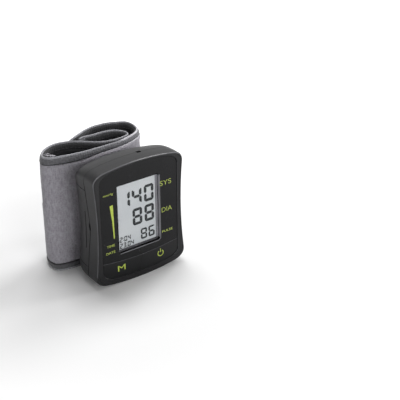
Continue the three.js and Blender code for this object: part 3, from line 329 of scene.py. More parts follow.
finishes = (  # a node gets the first one with a word that stands in its name
    (caseAbs, "front_case rear_case battery_cover cuff_plate"), (fasciaPc, "fascia"), (keyPc, "key"),
    (windowAcrylic, "window"), (polariser, "lcd_panel"), (whiteAbs, "lcd_frame sensor"), (stripes, "connector"),
    (circuitBoard(), "board"), (epoxyBlack, "chip switch buzzer pump_head"), (nickelSteel, "contact screw"),
    (drawnSteel, "motor valve"), (silicone, "manifold bladder"), (cellSleeve(), "battery"),
    (springySheet, "stiffener"), (hookNylon, "hook"), (knit, "cover"), (lining, "lining"), (tape, "binding"),
)
for nodeName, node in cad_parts.items():
    finish = next(finish for finish, words in finishes if any(word in nodeName for word in words.split()))
    node.data.materials.clear()
    node.data.materials.append(finish)
print("materials are made")


# Mesh helpers
def flipIfInside(piece):  # turns a closed mesh's faces outwards
    work = bmesh.new()
    work.from_mesh(piece.data)
    bmesh.ops.recalc_face_normals(work, faces=work.faces)
    if work.calc_volume(signed=True) < 0:
        bmesh.ops.reverse_faces(work, faces=work.faces)
    work.to_mesh(piece.data)
    work.free()


def newPiece(name, vertices, faces, material, body, replaced=(), slot=None, sharp=30, uv=None, turn=True):
    mesh = bpy.data.meshes.new(name)
    mesh.from_pydata([tuple(v) for v in vertices], [], faces)
    if uv:
        layer = mesh.uv_layers.new(name="along")
        for loop in mesh.loops:
            layer.data[loop.index].uv = uv[loop.vertex_index]
    mesh.validate()
    mesh.shade_smooth()
    mesh.set_sharp_from_angle(angle=math.radians(sharp))
    piece = addObject(name, mesh)
    mesh.materials.append(material)
    if body:
        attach(piece, body)
    if replaced:
        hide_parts(*replaced)
    if turn:
        flipIfInside(piece)
    return piece


def paint(piece, material, chosen):  # gives the faces that pass a test a second material
    piece.data.materials.append(material)
    for index, face in enumerate(piece.data.polygons):
        if chosen(index, face):
            face.material_index = 1


def ringFaces(n, levels, base=0, ends=True, closed=False):
    # quads between rings of n points each, with both end faces, or closed from the last ring to the first
    faces = []
    for k in range(levels if closed else levels - 1):
        a, b = base + k * n, base + (k + 1) % levels * n
        faces += [(a + i, b + i, b + (i + 1) % n, a + (i + 1) % n) for i in range(n)]
    last = base + (levels - 1) * n
    return faces + ([tuple(range(base, base + n)), tuple(range(last + n - 1, last - 1, -1))] if ends else [])


def fillFaces(loops, base=0, turned=False):  # triangles that fill flat outlines, the first with holes in it
    triangles = tessellate_polygon([[Vector((x, z, 0)) for x, z in loop] for loop in loops])
    return [(base + a, base + c, base + b) if turned else (base + a, base + b, base + c) for a, b, c in triangles]


def evaluated(piece):
    return piece.evaluated_get(bpy.context.evaluated_depsgraph_get())


def reshape(piece, cutter, operation="DIFFERENCE"):  # cuts with a cutter, or keeps the overlap, and removes it
    change = piece.modifiers.new("change", "BOOLEAN")
    change.operation, change.object, change.solver = operation, cutter, "EXACT"
    bpy.context.view_layer.update()
    mesh = bpy.data.meshes.new_from_object(evaluated(piece))
    piece.modifiers.clear()
    piece.data = mesh
    bpy.data.objects.remove(cutter)


def looseMesh(vertices, faces):  # a helper shape for cutting
    mesh = bpy.data.meshes.new("cutter")
    mesh.from_pydata([tuple(v) for v in vertices], [], faces)
    piece = addObject("cutter", mesh)
    flipIfInside(piece)
    return piece


def blockCutter(x0, x1, y0, y1, z0, z1):
    vertices = [spot(x, y, z) for x in (x0, x1) for y in (y0, y1) for z in (z0, z1)]
    faces = [(0, 1, 3, 2), (4, 6, 7, 5), (0, 4, 5, 1), (2, 3, 7, 6), (0, 2, 6, 4), (1, 5, 7, 3)]
    return looseMesh(vertices, faces)


def arcOf(cx, cz, r, start, end, count):  # points along part of a circle, from one angle in degrees to another
    turns = [math.radians(start + (end - start) * i / count) for i in range(count + 1)]
    return [(cx + r * math.cos(a), cz + r * math.sin(a)) for a in turns]


def circleOf(cx, cz, r, count):
    return arcOf(cx, cz, r, 0, 360, count)[:-1]


def bezier(a, b, c, count):  # points of one curved edge, without its last
    return [((1 - t) ** 2 * a[0] + 2 * t * (1 - t) * b[0] + t * t * c[0],
             (1 - t) ** 2 * a[1] + 2 * t * (1 - t) * b[1] + t * t * c[1])
            for t in (i / count for i in range(count))]


# Housing
housing = {"height": 73.6, "depth": 29.5, "topHalf": 29.3, "footHalf": 29.9, "waistDraw": 1.5,
           "crownDrop": 1.9, "footRise": 1.7, "topCorner": 6.5, "footCorner": 7.5, "flat": 0.3, "wall": 1.8,
           "topRound": 12, "topRoundStart": 4.5, "sideRound": 12, "sideRoundStart": 13, "footRound": 2.5}
seamLine = {"setBack": 9.6, "forward": 2.2, "height": 37, "halfSpan": 21}
prySlot = (4.8, 7.4, 8.3, 10.5, 71.9, 80)  # across the parting line on the top
screwWells = {"places": ((-19.2, 66), (19.2, 66), (-20, 6.8), (20, 6.8)), "radius": 2.1, "from": 20}
doorCut = {"bottom": 11.9, "top": 59.7, "back": 25.4, "inner": -14, "gap": 0.3, "notchDepth": 1.2,
           "notchRadius": 4.35, "notchHeight": 38, "groove": (-40, -27.7, 11.8, 12.4, 23, 46)}
rimRows = (  # depth behind the face, then how far in the side, the top and the foot lie
    (1.5, 3.4, 3.4, 4.6), (1.5, 0.8, 0.6, 2.6), (0.2, 0.8, 0.6, 2.6), (0.05, 0.75, 0.62, 2.55), (0, 0.7, 0.6, 2.5),
    (0, 0.44, 0.46, 0.44), (0.03, 0.36, 0.38, 0.36), (0.09, 0.27, 0.29, 0.27), (0.12, 0.25, 0.27, 0.25),
    (0.5, 0.07, 0.07, 0.07), (0.55, 0.04, 0.04, 0.04), (0.75, 0, 0, 0),
)
paintedHighlightRows = range(5, 9)  # the rim's bevel, which hands touch and which gets the painted highlight


def meeting(p, q, r, s):  # where the line from p through q meets the line from r through s
    d1, d2 = (q[0] - p[0], q[1] - p[1]), (s[0] - r[0], s[1] - r[1])
    along = ((r[0] - p[0]) * d2[1] - (r[1] - p[1]) * d2[0]) / (d1[0] * d2[1] - d1[1] * d2[0])
    return (p[0] + d1[0] * along, p[1] + d1[1] * along)


def outlineOf(side, top, foot, count=14):  # the case's outline, drawn in by three amounts
    h = housing
    halfTop, halfFoot = h["topHalf"] - side, h["footHalf"] - side
    zTop, zFoot = h["height"] - top, foot - h["flat"]
    upper, lower = zTop - h["crownDrop"] - h["topCorner"], zFoot + h["footRise"] + h["footCorner"]
    waist = ((halfTop + halfFoot) / 2 - 2 * h["waistDraw"], (upper + lower) / 2)
    arch, belly = (halfTop - h["topCorner"], zTop - h["crownDrop"]), (halfFoot - h["footCorner"],
                                                                      zFoot + h["footRise"])
    crown, keel = (0, zTop + h["crownDrop"]), (0, zFoot - h["footRise"])
    right = bezier(belly, meeting((halfFoot, lower), waist, belly, keel), (halfFoot, lower), count)
    right += bezier((halfFoot, lower), waist, (halfTop, upper), count)
    right += bezier((halfTop, upper), meeting((halfTop, upper), waist, arch, crown), arch, count)
    left = [(-x, z) for x, z in ([arch] + right[::-1])[:-1]]
    row = right + bezier(arch, crown, (-arch[0], arch[1]), count + 4) + left
    row += bezier((-belly[0], belly[1]), keel, belly, count + 4)
    return [(x, max(z, 0)) for x, z in row]


def rounding(y, start, back, amount):
    share = clamp((y - start) / (back - start))
    return amount * (1 - math.sqrt(1 - share * share))


def insetsAt(y, wall=0.0):
    back, h = housing["depth"] - wall, housing
    return [wall + rounding(y, h[start], back, h[amount]) for start, amount in (
        ("sideRoundStart", "sideRound"), ("topRoundStart", "topRound"), ("sideRoundStart", "footRound"))]


def seamDepth(z):
    share = clamp(abs(z - seamLine["height"]) / seamLine["halfSpan"])
    return seamLine["setBack"] - seamLine["forward"] * (1 - share) ** 1.4


def ringRow(y, insets):
    return [spot(x, y, z) for x, z in outlineOf(*insets)]


def seamRow(step, inset):  # a ring beside the parting line, which closes up where it crosses the top
    top = inset + rounding(seamLine["setBack"], housing["topRoundStart"], housing["depth"], housing["topRound"])
    return [spot(x, seamDepth(z) + step * (1 - 0.85 * clamp((z - 60) / 8)), z)
            for x, z in outlineOf(inset, top, inset)]


def finishShell(piece, angle, body=None, node=None):
    piece.data.shade_smooth()
    piece.data.set_sharp_from_angle(angle=math.radians(angle))
    piece.modifiers.new("faceNormals", "WEIGHTED_NORMAL").keep_sharp = True
    if body:
        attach(piece, body)
        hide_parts(node)


def makeFrontCase():
    rings = [ringRow(y, insets) for y, *insets in rimRows] + [ringRow(y, insetsAt(y)) for y in (2.6, 4.6, 6.2)]
    rings += [seamRow(step, inset) for step, inset in ((-0.5, 0), (-0.3, 0.05), (-0.2, 0.2), (-0.2, 1.8))]
    rings += [ringRow(3, (1.8, 1.8, 1.8)), ringRow(3, (3.4, 3.4, 4.6))]
    count = len(rings[0])
    piece = newPiece("frontCase", sum(rings, []), ringFaces(count, len(rings), ends=False, closed=True), caseAbs,
                     "monitor", ["front_case"], "case_plastic", 38)
    # painted highlight: the rim's bevel above the foot gets the lighter ABS
    paint(piece, paintedHighlightAbs, lambda index, face: index // count in paintedHighlightRows and face.center.z > 9 * mm)
    reshape(piece, blockCutter(*prySlot))
    finishShell(piece, 34)


def rearShell(name):
    wall, depth = housing["wall"], housing["depth"]
    shares = [math.sin(math.pi / 2 * i / 22) for i in range(23)]
    outer = [seamRow(0.2, 0.2), seamRow(0.3, 0.05), seamRow(0.5, 0)]
    outer += [ringRow(y, insetsAt(y)) for y in [10.8, 12, 13] + [13 + 16.5 * s for s in shares[1:]]]
    inner = [ringRow(10 + 17.7 * s, insetsAt(10 + 17.7 * s, wall)) for s in shares[::2] if s > 0.1]
    rings = outer[::-1] + [seamRow(0.2, 1.8)] + inner
    vertices, count = sum(rings, []), len(rings[0])
    hub, last = len(vertices), (len(rings) - 1) * count
    vertices += [spot(0, depth, 36.6), spot(0, depth - wall, 36.6)]
    faces = ringFaces(count, len(rings), ends=False) + [(hub, i, (i + 1) % count) for i in range(count)]
    faces += [(hub + 1, last + (i + 1) % count, last + i) for i in range(count)]
    return newPiece(name, vertices, faces, caseAbs, None)


def makeRearCase():
    low, high, inner, back, gap = (doorCut[key] for key in ("bottom", "top", "inner", "back", "gap"))
    piece = rearShell("rearCase")
    reshape(piece, blockCutter(-40, inner, 0, back + gap, low - gap, high + gap))
    for x, z in screwWells["places"]:
        ring = circleOf(x, z, screwWells["radius"], 28)
        reshape(piece, looseMesh([spot(a, y, b) for y in (screwWells["from"], 40) for a, b in ring],
                                 ringFaces(28, 2)))
    reshape(piece, blockCutter(*prySlot))
    finishShell(piece, 32, "monitor", "rear_case")

    cover = rearShell("batteryCover")
    reshape(cover, blockCutter(-40, inner, 0, back, low, high), "INTERSECT")
    # a nail notch in the front edge and the thumb groove behind it
    radius, height = doorCut["notchRadius"], doorCut["notchHeight"]
    ring = circleOf(seamDepth(height) - radius + doorCut["notchDepth"], height, radius, 40)
    reshape(cover, looseMesh([spot(x, y, z) for x in (-40, -24) for y, z in ring], ringFaces(40, 2)))
    reshape(cover, blockCutter(*doorCut["groove"]))
    finishShell(cover, 32, "battery_cover", "battery_cover")


makeFrontCase()
makeRearCase()
print("housing is made")


# Fascia, keys and window
panel = {"half": 25.5, "top": 72.2, "foot": 3.3, "crownDrop": 1.9, "footRise": 1.7, "topCorner": 5.5,
         "footCorner": 5, "sunk": 0.5, "gap": 0.16, "keyStand": 0.16}
keyBar = {"top": 13.8, "rise": 2.9, "half": 29.9, "back": 0.85, "bevel": 0.26}
window = {"left": -14.85, "right": 13.35, "bottom": 19.1, "top": 61.6, "corner": 1.5, "lip": 0.5}
litArea = {"left": -13.3, "right": 11.8, "bottom": 20.5, "top": 60.2}


def panelEdge(s, edge, bend, corner, steps, inset=0.0):  # s is 1 for the arched top and -1 for the foot
    half, bow, high, low = panel["half"] - inset, edge - 2 * s * bend, edge - s * bend, edge - s * (bend + corner)
    points = bezier((s * half, low), (s * half, bow), (s * (half - corner), high), steps)
    points += bezier((s * (half - corner), high), (0, edge + s * bend), (s * (corner - half), high), 24)
    points += bezier((s * (corner - half), high), (-s * half, bow), (-s * half, low), steps)
    return points + [(-s * half, low)]


def panelFoot(inset=0.0):
    return panelEdge(-1, panel["foot"] + inset, panel["footRise"], panel["footCorner"], 8, inset)


def panelTop():
    return panelEdge(1, panel["top"], panel["crownDrop"], panel["topCorner"], 10)


def stripTop(x):  # upper edge of the key bar
    return keyBar["top"] + keyBar["rise"] * (x / keyBar["half"]) ** 2


def keyOutline(left, right, inset):
    foot = [p for p in panelFoot(inset) if left < p[0] < right]
    side = panel["half"] - inset
    levels = [clamp(left + (right - left) * i / 20, -side, side) for i in range(21)]
    ends = [(x, panel["foot"] + inset) for x in (left, right) if abs(x) < 1]
    foot = (ends if left > -1 else []) + foot + (ends if right < 1 else [])
    return foot + [(x, stripTop(x)) for x in reversed(levels)]


def rect(x0, x1, z0, z1):
    return [(x0, z0), (x1, z0), (x1, z1), (x0, z1)]


def roundedRect(x0, x1, z0, z1, r):
    return [p for x, z, start in ((x1 - r, z0 + r, -90), (x1 - r, z1 - r, 0), (x0 + r, z1 - r, 90),
                                  (x0 + r, z0 + r, 180)) for p in arcOf(x, z, r, start, start + 90, 6)]


def tidyLoop(loop, clockwise):
    clean = [p for i, p in enumerate(loop) if math.dist(p, loop[i - 1]) > 1e-4]
    area = sum(a[0] * b[1] - b[0] * a[1] for a, b in zip(clean, clean[1:] + clean[:1]))
    return clean[::-1] if (area < 0) != clockwise else clean


def shrunk(loop, amount):  # moves an outline to its left side, which is where the material is
    moved = []
    for i, p in enumerate(loop):
        a, b = loop[i - 1], loop[(i + 1) % len(loop)]
        e1, e2 = Vector((p[0] - a[0], p[1] - a[1])).normalized(), Vector((b[0] - p[0], b[1] - p[1])).normalized()
        n = Vector((-e1.y - e2.y, e1.x + e2.x))
        n = n / max(n.length_squared / 2, 0.3)
        moved.append((p[0] + n.x * amount, p[1] + n.y * amount))
    return moved


def facePlate(name, loops, front, back, edges, material, body="monitor", replaced=(), slot="fascia_plastic"):
    # the first loop is the outline and the rest are holes; each has its own front level and bevel
    loops = [tidyLoop(loop, i > 0) for i, loop in enumerate(loops)]
    fronts = front if isinstance(front, list) else [front] * len(loops)
    edges = edges if isinstance(edges, list) else [edges] * len(loops)
    vertices, faces, starts = [], [], []
    for inward, down in ((1, 0), (0.55, 0.08), (0.2, 0.4), (0, 1), (0, None)):
        starts.append(len(vertices))
        for loop, level, edge in zip(loops, fronts, edges):
            y = back if down is None else level + edge * down
            vertices += [spot(x, y, z) for x, z in shrunk(loop, edge * inward)]
    for a, b in zip(starts, starts[1:]):
        for loop in loops:
            n = len(loop)
            faces += [(a + i, b + i, b + (i + 1) % n, a + (i + 1) % n) for i in range(n)]
            a, b = a + n, b + n
    for start, share in ((starts[0], 1), (starts[-1], 0)):
        flat = [shrunk(loop, edge * share) for loop, edge in zip(loops, edges)]
        faces += fillFaces(flat, start, not share)
    piece = newPiece(name, vertices, faces, material, body, replaced, slot, 24)
    for face in piece.data.polygons:  # front and back stay flat, and only the bevel is rounded
        face.use_smooth = abs(face.normal.y) < 0.999
    return piece


def makeFascia():
    # the border is level with the rim, and the panel, the keys and the print lie sunk in it
    left, right, bottom, top, r = (window[key] for key in ("left", "right", "bottom", "top", "corner"))
    hole, outer = (roundedRect(left - w, right + w, bottom - w, top + w, corner)
                   for w, corner in ((0, r), (1.2, r + 1)))
    border = facePlate("fasciaBorder", [outlineOf(0.92, 0.72, 2.72), panelFoot() + panelTop()], [0.06, 0.12], 1.2,
                       [0.04, 0.22], caseAbs, replaced=["fascia_panel"])
    # painted highlight: the step down to the panel gets the lighter ABS on its right and foot
    paint(border, paintedHighlightAbs, lambda index, face: face.normal.y < -0.3 and abs(face.center.x) < 0.027
          and face.center.z > 0.006 and (face.normal.z > 0.3 or face.normal.x < -0.3
                                         and abs(face.center.z - 0.041) < 0.02))
    sunk, gap, keyFront = panel["sunk"], panel["gap"], panel["sunk"] - panel["keyStand"]
    half = panel["half"] - gap
    barEdge = [(half * (i / 12 - 1), stripTop(half * (i / 12 - 1)) + 0.08) for i in range(25)]
    upper = [(x * half / panel["half"], z - gap) for x, z in panelTop()]
    facePlate("fasciaMiddle", [barEdge + upper, hole], sunk, 1.3, 0.1, fasciaPc)
    for name, node, start, end, side in (("memoryKey", "memory_key", -26, -0.04, -1),
                                         ("powerKey", "power_key", 0.04, 26, 1)):
        key = facePlate(name, [keyOutline(start, end, gap)], keyFront, keyBar["back"], keyBar["bevel"], keyPc, node,
                        [node])
        # painted highlight on the bevel along its upper edge
        paint(key, paintedHighlightAbs, lambda index, face: face.normal.z > 0.3 and face.normal.y < -0.3)
        for vertex in key.data.vertices:  # the two keys meet in a plain butt joint
            if abs(vertex.co.x) < 0.45 * mm:
                vertex.co.x = side * 0.04 * mm
    # the deep wall round the display, down to the glass, its right side in grey as painted light and the step below
    # the glass in darker grey as painted shade
    lit = (litArea["left"], litArea["right"], litArea["bottom"], litArea["top"])
    side = rect(lit[1] + 0.05, right, *lit[2:])
    foot = rect(left + 0.3, right - 0.3, bottom + 0.05, lit[2] - 0.05)
    liner = rect(right - 0.22, right - 0.01, bottom + 1.5, top - 1.5)
    facePlate("displayWall", [outer, hole], 1.3, 2.2, 0.02, fasciaPc)
    facePlate("displayMask", [outer, rect(*lit)], 2.2, 2.37, 0.02, fasciaPc)
    facePlate("displaySide", [side], 2.12, 2.19, 0.02, paintedLightWallGrey)
    facePlate("displayFoot", [foot], 2.12, 2.19, 0.02, paintedShadeFootGrey)
    facePlate("displayLiner", [liner], sunk + 0.1, 1.48, 0.05, paintedLightWallGrey)
    # painted highlight: the lip along the right and foot of the opening is pale grey
    edges = [[(right + w, top - 1)] + arcOf(right - r, bottom + r, r + w, 0, -90, 8) + [(left + 1, bottom - w)]
             for w in (window["lip"], 0.02)]
    facePlate("windowLip", [edges[0] + edges[1][::-1]], sunk - 0.16, sunk + 0.05, 0.14, paintedHighlightLip)
    pane = roundedRect(left + 0.1, right - 0.25, bottom + 0.1, top - 0.1, 1.4)
    facePlate("windowPane", [pane], 1.5, 2.1, 0.1, windowAcrylic, replaced=["display_window"], slot="window_plastic")


makeFascia()
print("fascia and keys are made")


# Printing and display figures
printed = {  # text, left and right end, middle height, letter height, added weight
    "words": (("SYS", 13.7, 21.6, 54.5, 3, 0), ("DIA", 14.7, 21.8, 37.5, 2.9, 0),
              ("PULSE", 14.7, 22, 23.5, 1.5, 0.015), ("mmHg", -23.2, -16.9, 57.9, 1.7, 0.015),
              ("TIME", -22.4, -17.2, 26.1, 1.5, 0.015), ("DATE", -23, -17.1, 21.9, 1.5, 0.015)),
    "bar": [(-19.4, 51.0), (-17.3, 51.2), (-17.15, 41), (-17.0, 30.2), (-17.6, 30.1), (-18.2, 41)],
}
figures = {  # figures, left ends, width, foot, top, stroke, lean and cut corners
    "rows": (("140", (-11.4, -3.7, 4.3), 6.4, 45.2, 55.7, 1.7, 0, 0.55),
             ("88", (-3.7, 4.3), 6.4, 32.6, 43.2, 1.7, 0, 0.55), ("86", (1.4, 6.6), 4.2, 22.2, 29.1, 1.1, 0, 0.55),
             ("204", (-12.9, -9.8, -7.4), 1.9, 24.8, 28, 0.58, 0.04, 0.1),
             ("2304", (-12.9, -10.6, -7.7, -5.4), 1.9, 20.9, 24, 0.58, 0.04, 0.1)),
    "dots": ((-10.6, 25.6), (-10.5, 26.9), (-8.4, 20.9)), "dot": 0.45, "depth": 2.395,
}
segmentNames = {"0": "abcdef", "1": "bc", "2": "abdeg", "3": "abcdg", "4": "bcfg", "6": "acdefg", "8": "abcdefg"}


def flatShape(name, loops, y, thickness, material, body):  # thin raised ink or segments on a plane
    vertices, faces = [], []
    for loop in loops:
        loop = tidyLoop(loop, False)
        base, n = len(vertices), len(loop)
        vertices += [spot(x, y - thickness, z) for x, z in loop] + [spot(x, y, z) for x, z in loop]
        faces += ringFaces(n, 2, base, ends=False)
        faces += fillFaces([loop], base) + fillFaces([loop], base + n, True)
    newPiece(name, vertices, faces, material, body, sharp=20)


def printWords(name, words, y, material, body):  # each word is scaled to its place
    vertices, faces = [], []
    for text, x0, x1, middle, height, weight in words:
        curve = bpy.data.curves.new("word", "FONT")
        curve.body, curve.offset, curve.extrude = text, weight, 0.02
        holder = addObject("word", curve)
        bpy.context.view_layer.update()
        mesh = bpy.data.meshes.new_from_object(evaluated(holder))
        bpy.data.objects.remove(holder)
        xs, ys = [v.co.x for v in mesh.vertices], [v.co.y for v in mesh.vertices]
        lowX, spanX, lowY, spanY = min(xs), max(xs) - min(xs), min(ys), max(ys) - min(ys)
        base = len(vertices)
        vertices += [spot(x0 + (v.co.x - lowX) / spanX * (x1 - x0), y - (0.03 if v.co.z > 0 else 0),
                          middle - height / 2 + (v.co.y - lowY) / spanY * height) for v in mesh.vertices]
        faces += [tuple(base + i for i in p.vertices) for p in mesh.polygons]
        bpy.data.meshes.remove(mesh)
    newPiece(name, vertices, faces, material, body, sharp=20, turn=False)


def printFace():
    ink, keyInk = panel["sunk"], panel["sunk"] - panel["keyStand"]
    printWords("panelWords", printed["words"], ink, limeInk, "monitor")
    flatShape("pressureBar", [printed["bar"]], ink, 0.03, limeBright, "monitor")
    printWords("memoryMark", [("M", -16, -11, 9.9, 3.6, 0)], keyInk, limeBright, "memory_key")
    ring = arcOf(13.2, 10, 2.1, 125, 415, 28) + arcOf(13.2, 10, 1.6, 415, 125, 28)
    flatShape("powerMark", [ring, rect(12.97, 13.43, 10.6, 12.9)], keyInk, 0.03, limeBright, "power_key")


def digitLoops(figure, x0, x1, z0, z1, t, slant, cut):
    gap, c = t * 0.1, t * cut  # the outer corners of the figure are cut off at 45 degrees
    left, right, top, middle = x0 + gap, x1 - gap, z1 - gap, (z0 + z1) / 2
    foot = middle + gap
    shapes = {
        "a": [(left + c, z1), (right - c, z1), (right, z1 - c), (right - t, z1 - t), (left + t, z1 - t),
              (left, z1 - c)],
        "f": [(x0, top - c), (x0 + c * 0.4, top - c * 0.6), (x0 + t, top - t), (x0 + t, foot + t / 2),
              (x0 + t / 2, foot), (x0, foot + t / 2)],
        "g": [(left + t / 2, middle), (left + t, middle + t / 2), (right - t, middle + t / 2),
              (right - t / 2, middle), (right - t, middle - t / 2), (left + t, middle - t / 2)],
    }
    shapes["d"], shapes["e"] = ([(x, z0 + z1 - z) for x, z in shapes[s]] for s in "af")
    shapes["b"], shapes["c"] = ([(x0 + x1 - x, z) for x, z in shapes[s]] for s in "fe")
    return [[(x + (z - z0) * slant, z) for x, z in shapes[s]] for s in segmentNames[figure]]


def showFigures():
    loops = [loop for text, places, width, low, high, stroke, lean, cut in figures["rows"]
             for figure, x in zip(text, places)
             for loop in digitLoops(figure, x, x + width, low, high, stroke, lean, cut)]
    loops += [rect(x, x + figures["dot"], z, z + figures["dot"]) for x, z in figures["dots"]]
    flatShape("displayFigures", loops, figures["depth"], 0.05, litSegment, "monitor")


printFace()
showFigures()
print("printing and figures are made")


# Cuff
cuff = {"height": 70, "hem": 4.7, "caught": 3.7, "wallLine": 33.9, "pitch": 3.9, "halfSpan": 36, "openDepth": 22,
        "lean": 0.8, "swell": 1.0, "sheet": 1.0, "riseBy": 1.5, "perRow": 7, "paintedShadeRows": 18}
fold = {"out": 0.7, "footOut": 1.5, "kick": 3.2, "kickHeight": 18, "farLift": 0.0065, "cornerSag": 2.8}
tapeEdge = {"sides": 26, "bead": range(9, 16), "outside": range(3, 16), "paintedHighlightFrom": 37, "paintedHighlightTo": 43.5}
stitch = {"pitch": 2.5, "length": 1.8, "radius": 0.14, "across": 1.38, "inset": 3.75}
cloth = {"scale": 20, "frames": 20, "hold": 0.12, "coverRoom": 0.4, "liningRoom": 0.16, "foldRoom": 0.9}
clothSettings = {"quality": 6, "mass": 0.3, "tension_stiffness": 18, "compression_stiffness": 18,
                 "shear_stiffness": 6, "bending_stiffness": 0.25, "pin_stiffness": 1.5,
                 "vertex_group_mass": "held", "vertex_group_shrink": "spare", "shrink_min": -0.035,
                 "shrink_max": -0.12}

# share across, layers from the wall, share of the open depth, then lean and padding where they aren't 0
rollRows = [
    (-0.215, 2, 0.386), (-0.12, 2, 0.435), (0.03, 2, 0.41), (0.18, 2, 0.415), (0.31, 2, 0.395), (0.42, 2, 0.34),
    (0.505, 1.5, 0.3), (0.545, 1, 0.235, 0.1), (0.535, 1, 0.125, 0.2), (0.475, 1, 0.045, 0.4), (0.38, 1, 0.005, 0.4),
    (0.27, 1, 0, 0.4), (0.17, 1, 0.015, 0.3), (0.08, 1, 0.055, 0.1), (0, 1, 0.115), (-0.075, 1, 0.205),
    (-0.145, 1, 0.305), (-0.215, 1, 0.405), (-0.29, 1, 0.495), (-0.365, 1, 0.565), (-0.45, 1, 0.62),
    (-0.545, 1, 0.655), (-0.635, 1, 0.66, 0, 0.15), (-0.72, 1, 0.635, 0, 0.3), (-0.8, 1, 0.575, 0, 0.45),
    (-0.875, 1, 0.48, 0.3, 0.6), (-0.935, 0.7, 0.4, 0.8, 0.7), (-0.97, 0.4, 0.32, 1.3, 0.8),
    (-0.975, 0.1, 0.25, 1.7, 0.9), (-0.935, 0, 0.17, 2, 1), (-0.85, 0, 0.105, 2, 1), (-0.73, 0, 0.06, 1.7, 1),
    (-0.58, 0, 0.025, 1.1, 1), (-0.42, 0, 0.005, 0.5, 1), (-0.25, 0, 0, 0.35, 1), (-0.05, 0, 0, 0.35, 1),
    (0.15, 0, 0, 0.35, 1), (0.3, 0, 0.02, 0.6, 1), (0.42, 0, 0.065, 0.9, 0.85), (0.54, 0, 0.13, 1, 0.7),
    (0.645, 0, 0.215, 0.8, 0.6), (0.725, 0, 0.33, 0.5, 0.5), (0.78, 0, 0.47, 0.2, 0.4), (0.8, 0.3, 0.6, 0, 0.3),
    (0.785, 0.7, 0.72, 0, 0.2), (0.735, 1, 0.82, 0, 0.1), (0.655, 1, 0.9),
]
flapRows = [
    (0.655, 1, 0.9), (0.55, 1, 0.96), (0.42, 1, 1.005), (0.27, 1, 1.02), (0.13, 1, 0.995), (0, 1, 0.92),
    (-0.12, 1, 0.82), (-0.225, 1.1, 0.73), (-0.31, 1.3, 0.675), (-0.385, 1.5, 0.64),
]
tabRows = [
    (-0.395, 1.4, 0.625), (-0.47, 1.6, 0.63), (-0.545, 1.6, 0.655), (-0.635, 1.6, 0.67), (-0.725, 1.65, 0.655),
]


def rollStations(rows, perRow):  # the band's middle line as evenly eased points with their outward side
    rows = [(*row, 0, 0)[:5] for row in rows]
    points = [Vector((a * cuff["halfSpan"], cuff["wallLine"] + n * cuff["pitch"] + o * cuff["openDepth"]))
              for a, n, o, _, _ in rows]
    ends = [points[0] * 2 - points[1]] + points + [points[-1] * 2 - points[-2]]
    stations, run = [], 0.0
    for i in range(len(points) - 1):
        p0, p1, p2, p3 = ends[i:i + 4]
        d0, d1, d2 = ((b - a).length ** 0.5 for a, b in ((p0, p1), (p1, p2), (p2, p3)))
        m1 = ((p1 - p0) / d0 - (p2 - p0) / (d0 + d1) + (p2 - p1) / d1) * d1
        m2 = ((p2 - p1) / d1 - (p3 - p1) / (d1 + d2) + (p3 - p2) / d2) * d1
        for k in range(perRow + (i == len(points) - 2)):
            t = k / perRow
            place = (p1 * (2 * t**3 - 3 * t**2 + 1) + m1 * (t**3 - 2 * t**2 + t)
                     + p2 * (-2 * t**3 + 3 * t**2) + m2 * (t**3 - t**2))
            slope = (p1 * (6 * t**2 - 6 * t) + m1 * (3 * t**2 - 4 * t + 1)
                     + p2 * (-6 * t**2 + 6 * t) + m2 * (3 * t**2 - 2 * t)).normalized()
            lean, pad = (rows[i][n] * (1 - t) + rows[i + 1][n] * t for n in (3, 4))
            run += (place - stations[-1]["place"]).length if stations else 0
            stations.append({"place": place, "out": Vector((slope.y, -slope.x)), "lean": lean, "pad": pad,
                             "run": run, "sag": 0, "rise": 0, "tuck": 1, "moves": {}})
    return stations


def ease(x, start, end):  # 0 before start, 1 after end and smooth between
    t = clamp((x - start) / (end - start))
    return t * t * (3 - 2 * t)


def bandPoint(s, across, z):  # a place on the band, from its distance to the middle line and its height
    # the left fold stands out at its foot, the near wall's hem kicks forward and the far walls stand higher
    z *= 1 - s["sag"] / cuff["height"]
    lean = cuff["lean"] * s["lean"] * (2 * z - cuff["height"]) / cuff["height"]
    p = s["place"] + s["out"] * across
    kick = fold["kick"] * max(1 - z / fold["kickHeight"], 0) ** 2 * ease(-s["out"].y, 0.1, 0.7) * ease(-p.x, 8, 22)
    z *= 1 + fold["farLift"] * ease(p.y, 44, 54)
    left = ease(-p.x, 20, 36) * (fold["out"] + fold["footOut"] * (1 - z / cuff["height"]))
    return spot(p.x - left, p.y + lean - kick, z)


def sweepPiece(name, stations, section, material, body, replaced, slot, wobble=None):
    loops = [section(s) for s in stations]
    count, last = len(loops[0]), (len(stations) - 1) * len(loops[0])
    vertices, uv = [], []
    for s, loop in zip(stations, loops):
        for across, z in loop:
            if wobble:
                across, z = wobble(s, across, z)
            vertices.append(bandPoint(s, across, z))
            uv.append((s["run"], z + (100 if across < 0 else 0)))
    faces = ringFaces(count, len(stations), ends=False) + fillFaces([loops[0]]) + fillFaces([loops[-1]], last, True)
    return newPiece(name, vertices, faces, material, body, replaced, slot, 55, uv)


def paintShadeFrom(piece, run):  # painted shade: the cover of the roll's inner turn, which lies in shade, gets the dark lining cloth
    layer = piece.data.uv_layers["along"].data
    paint(piece, lining, lambda index, face: max(layer[i].uv.x for i in face.loop_indices) < run)


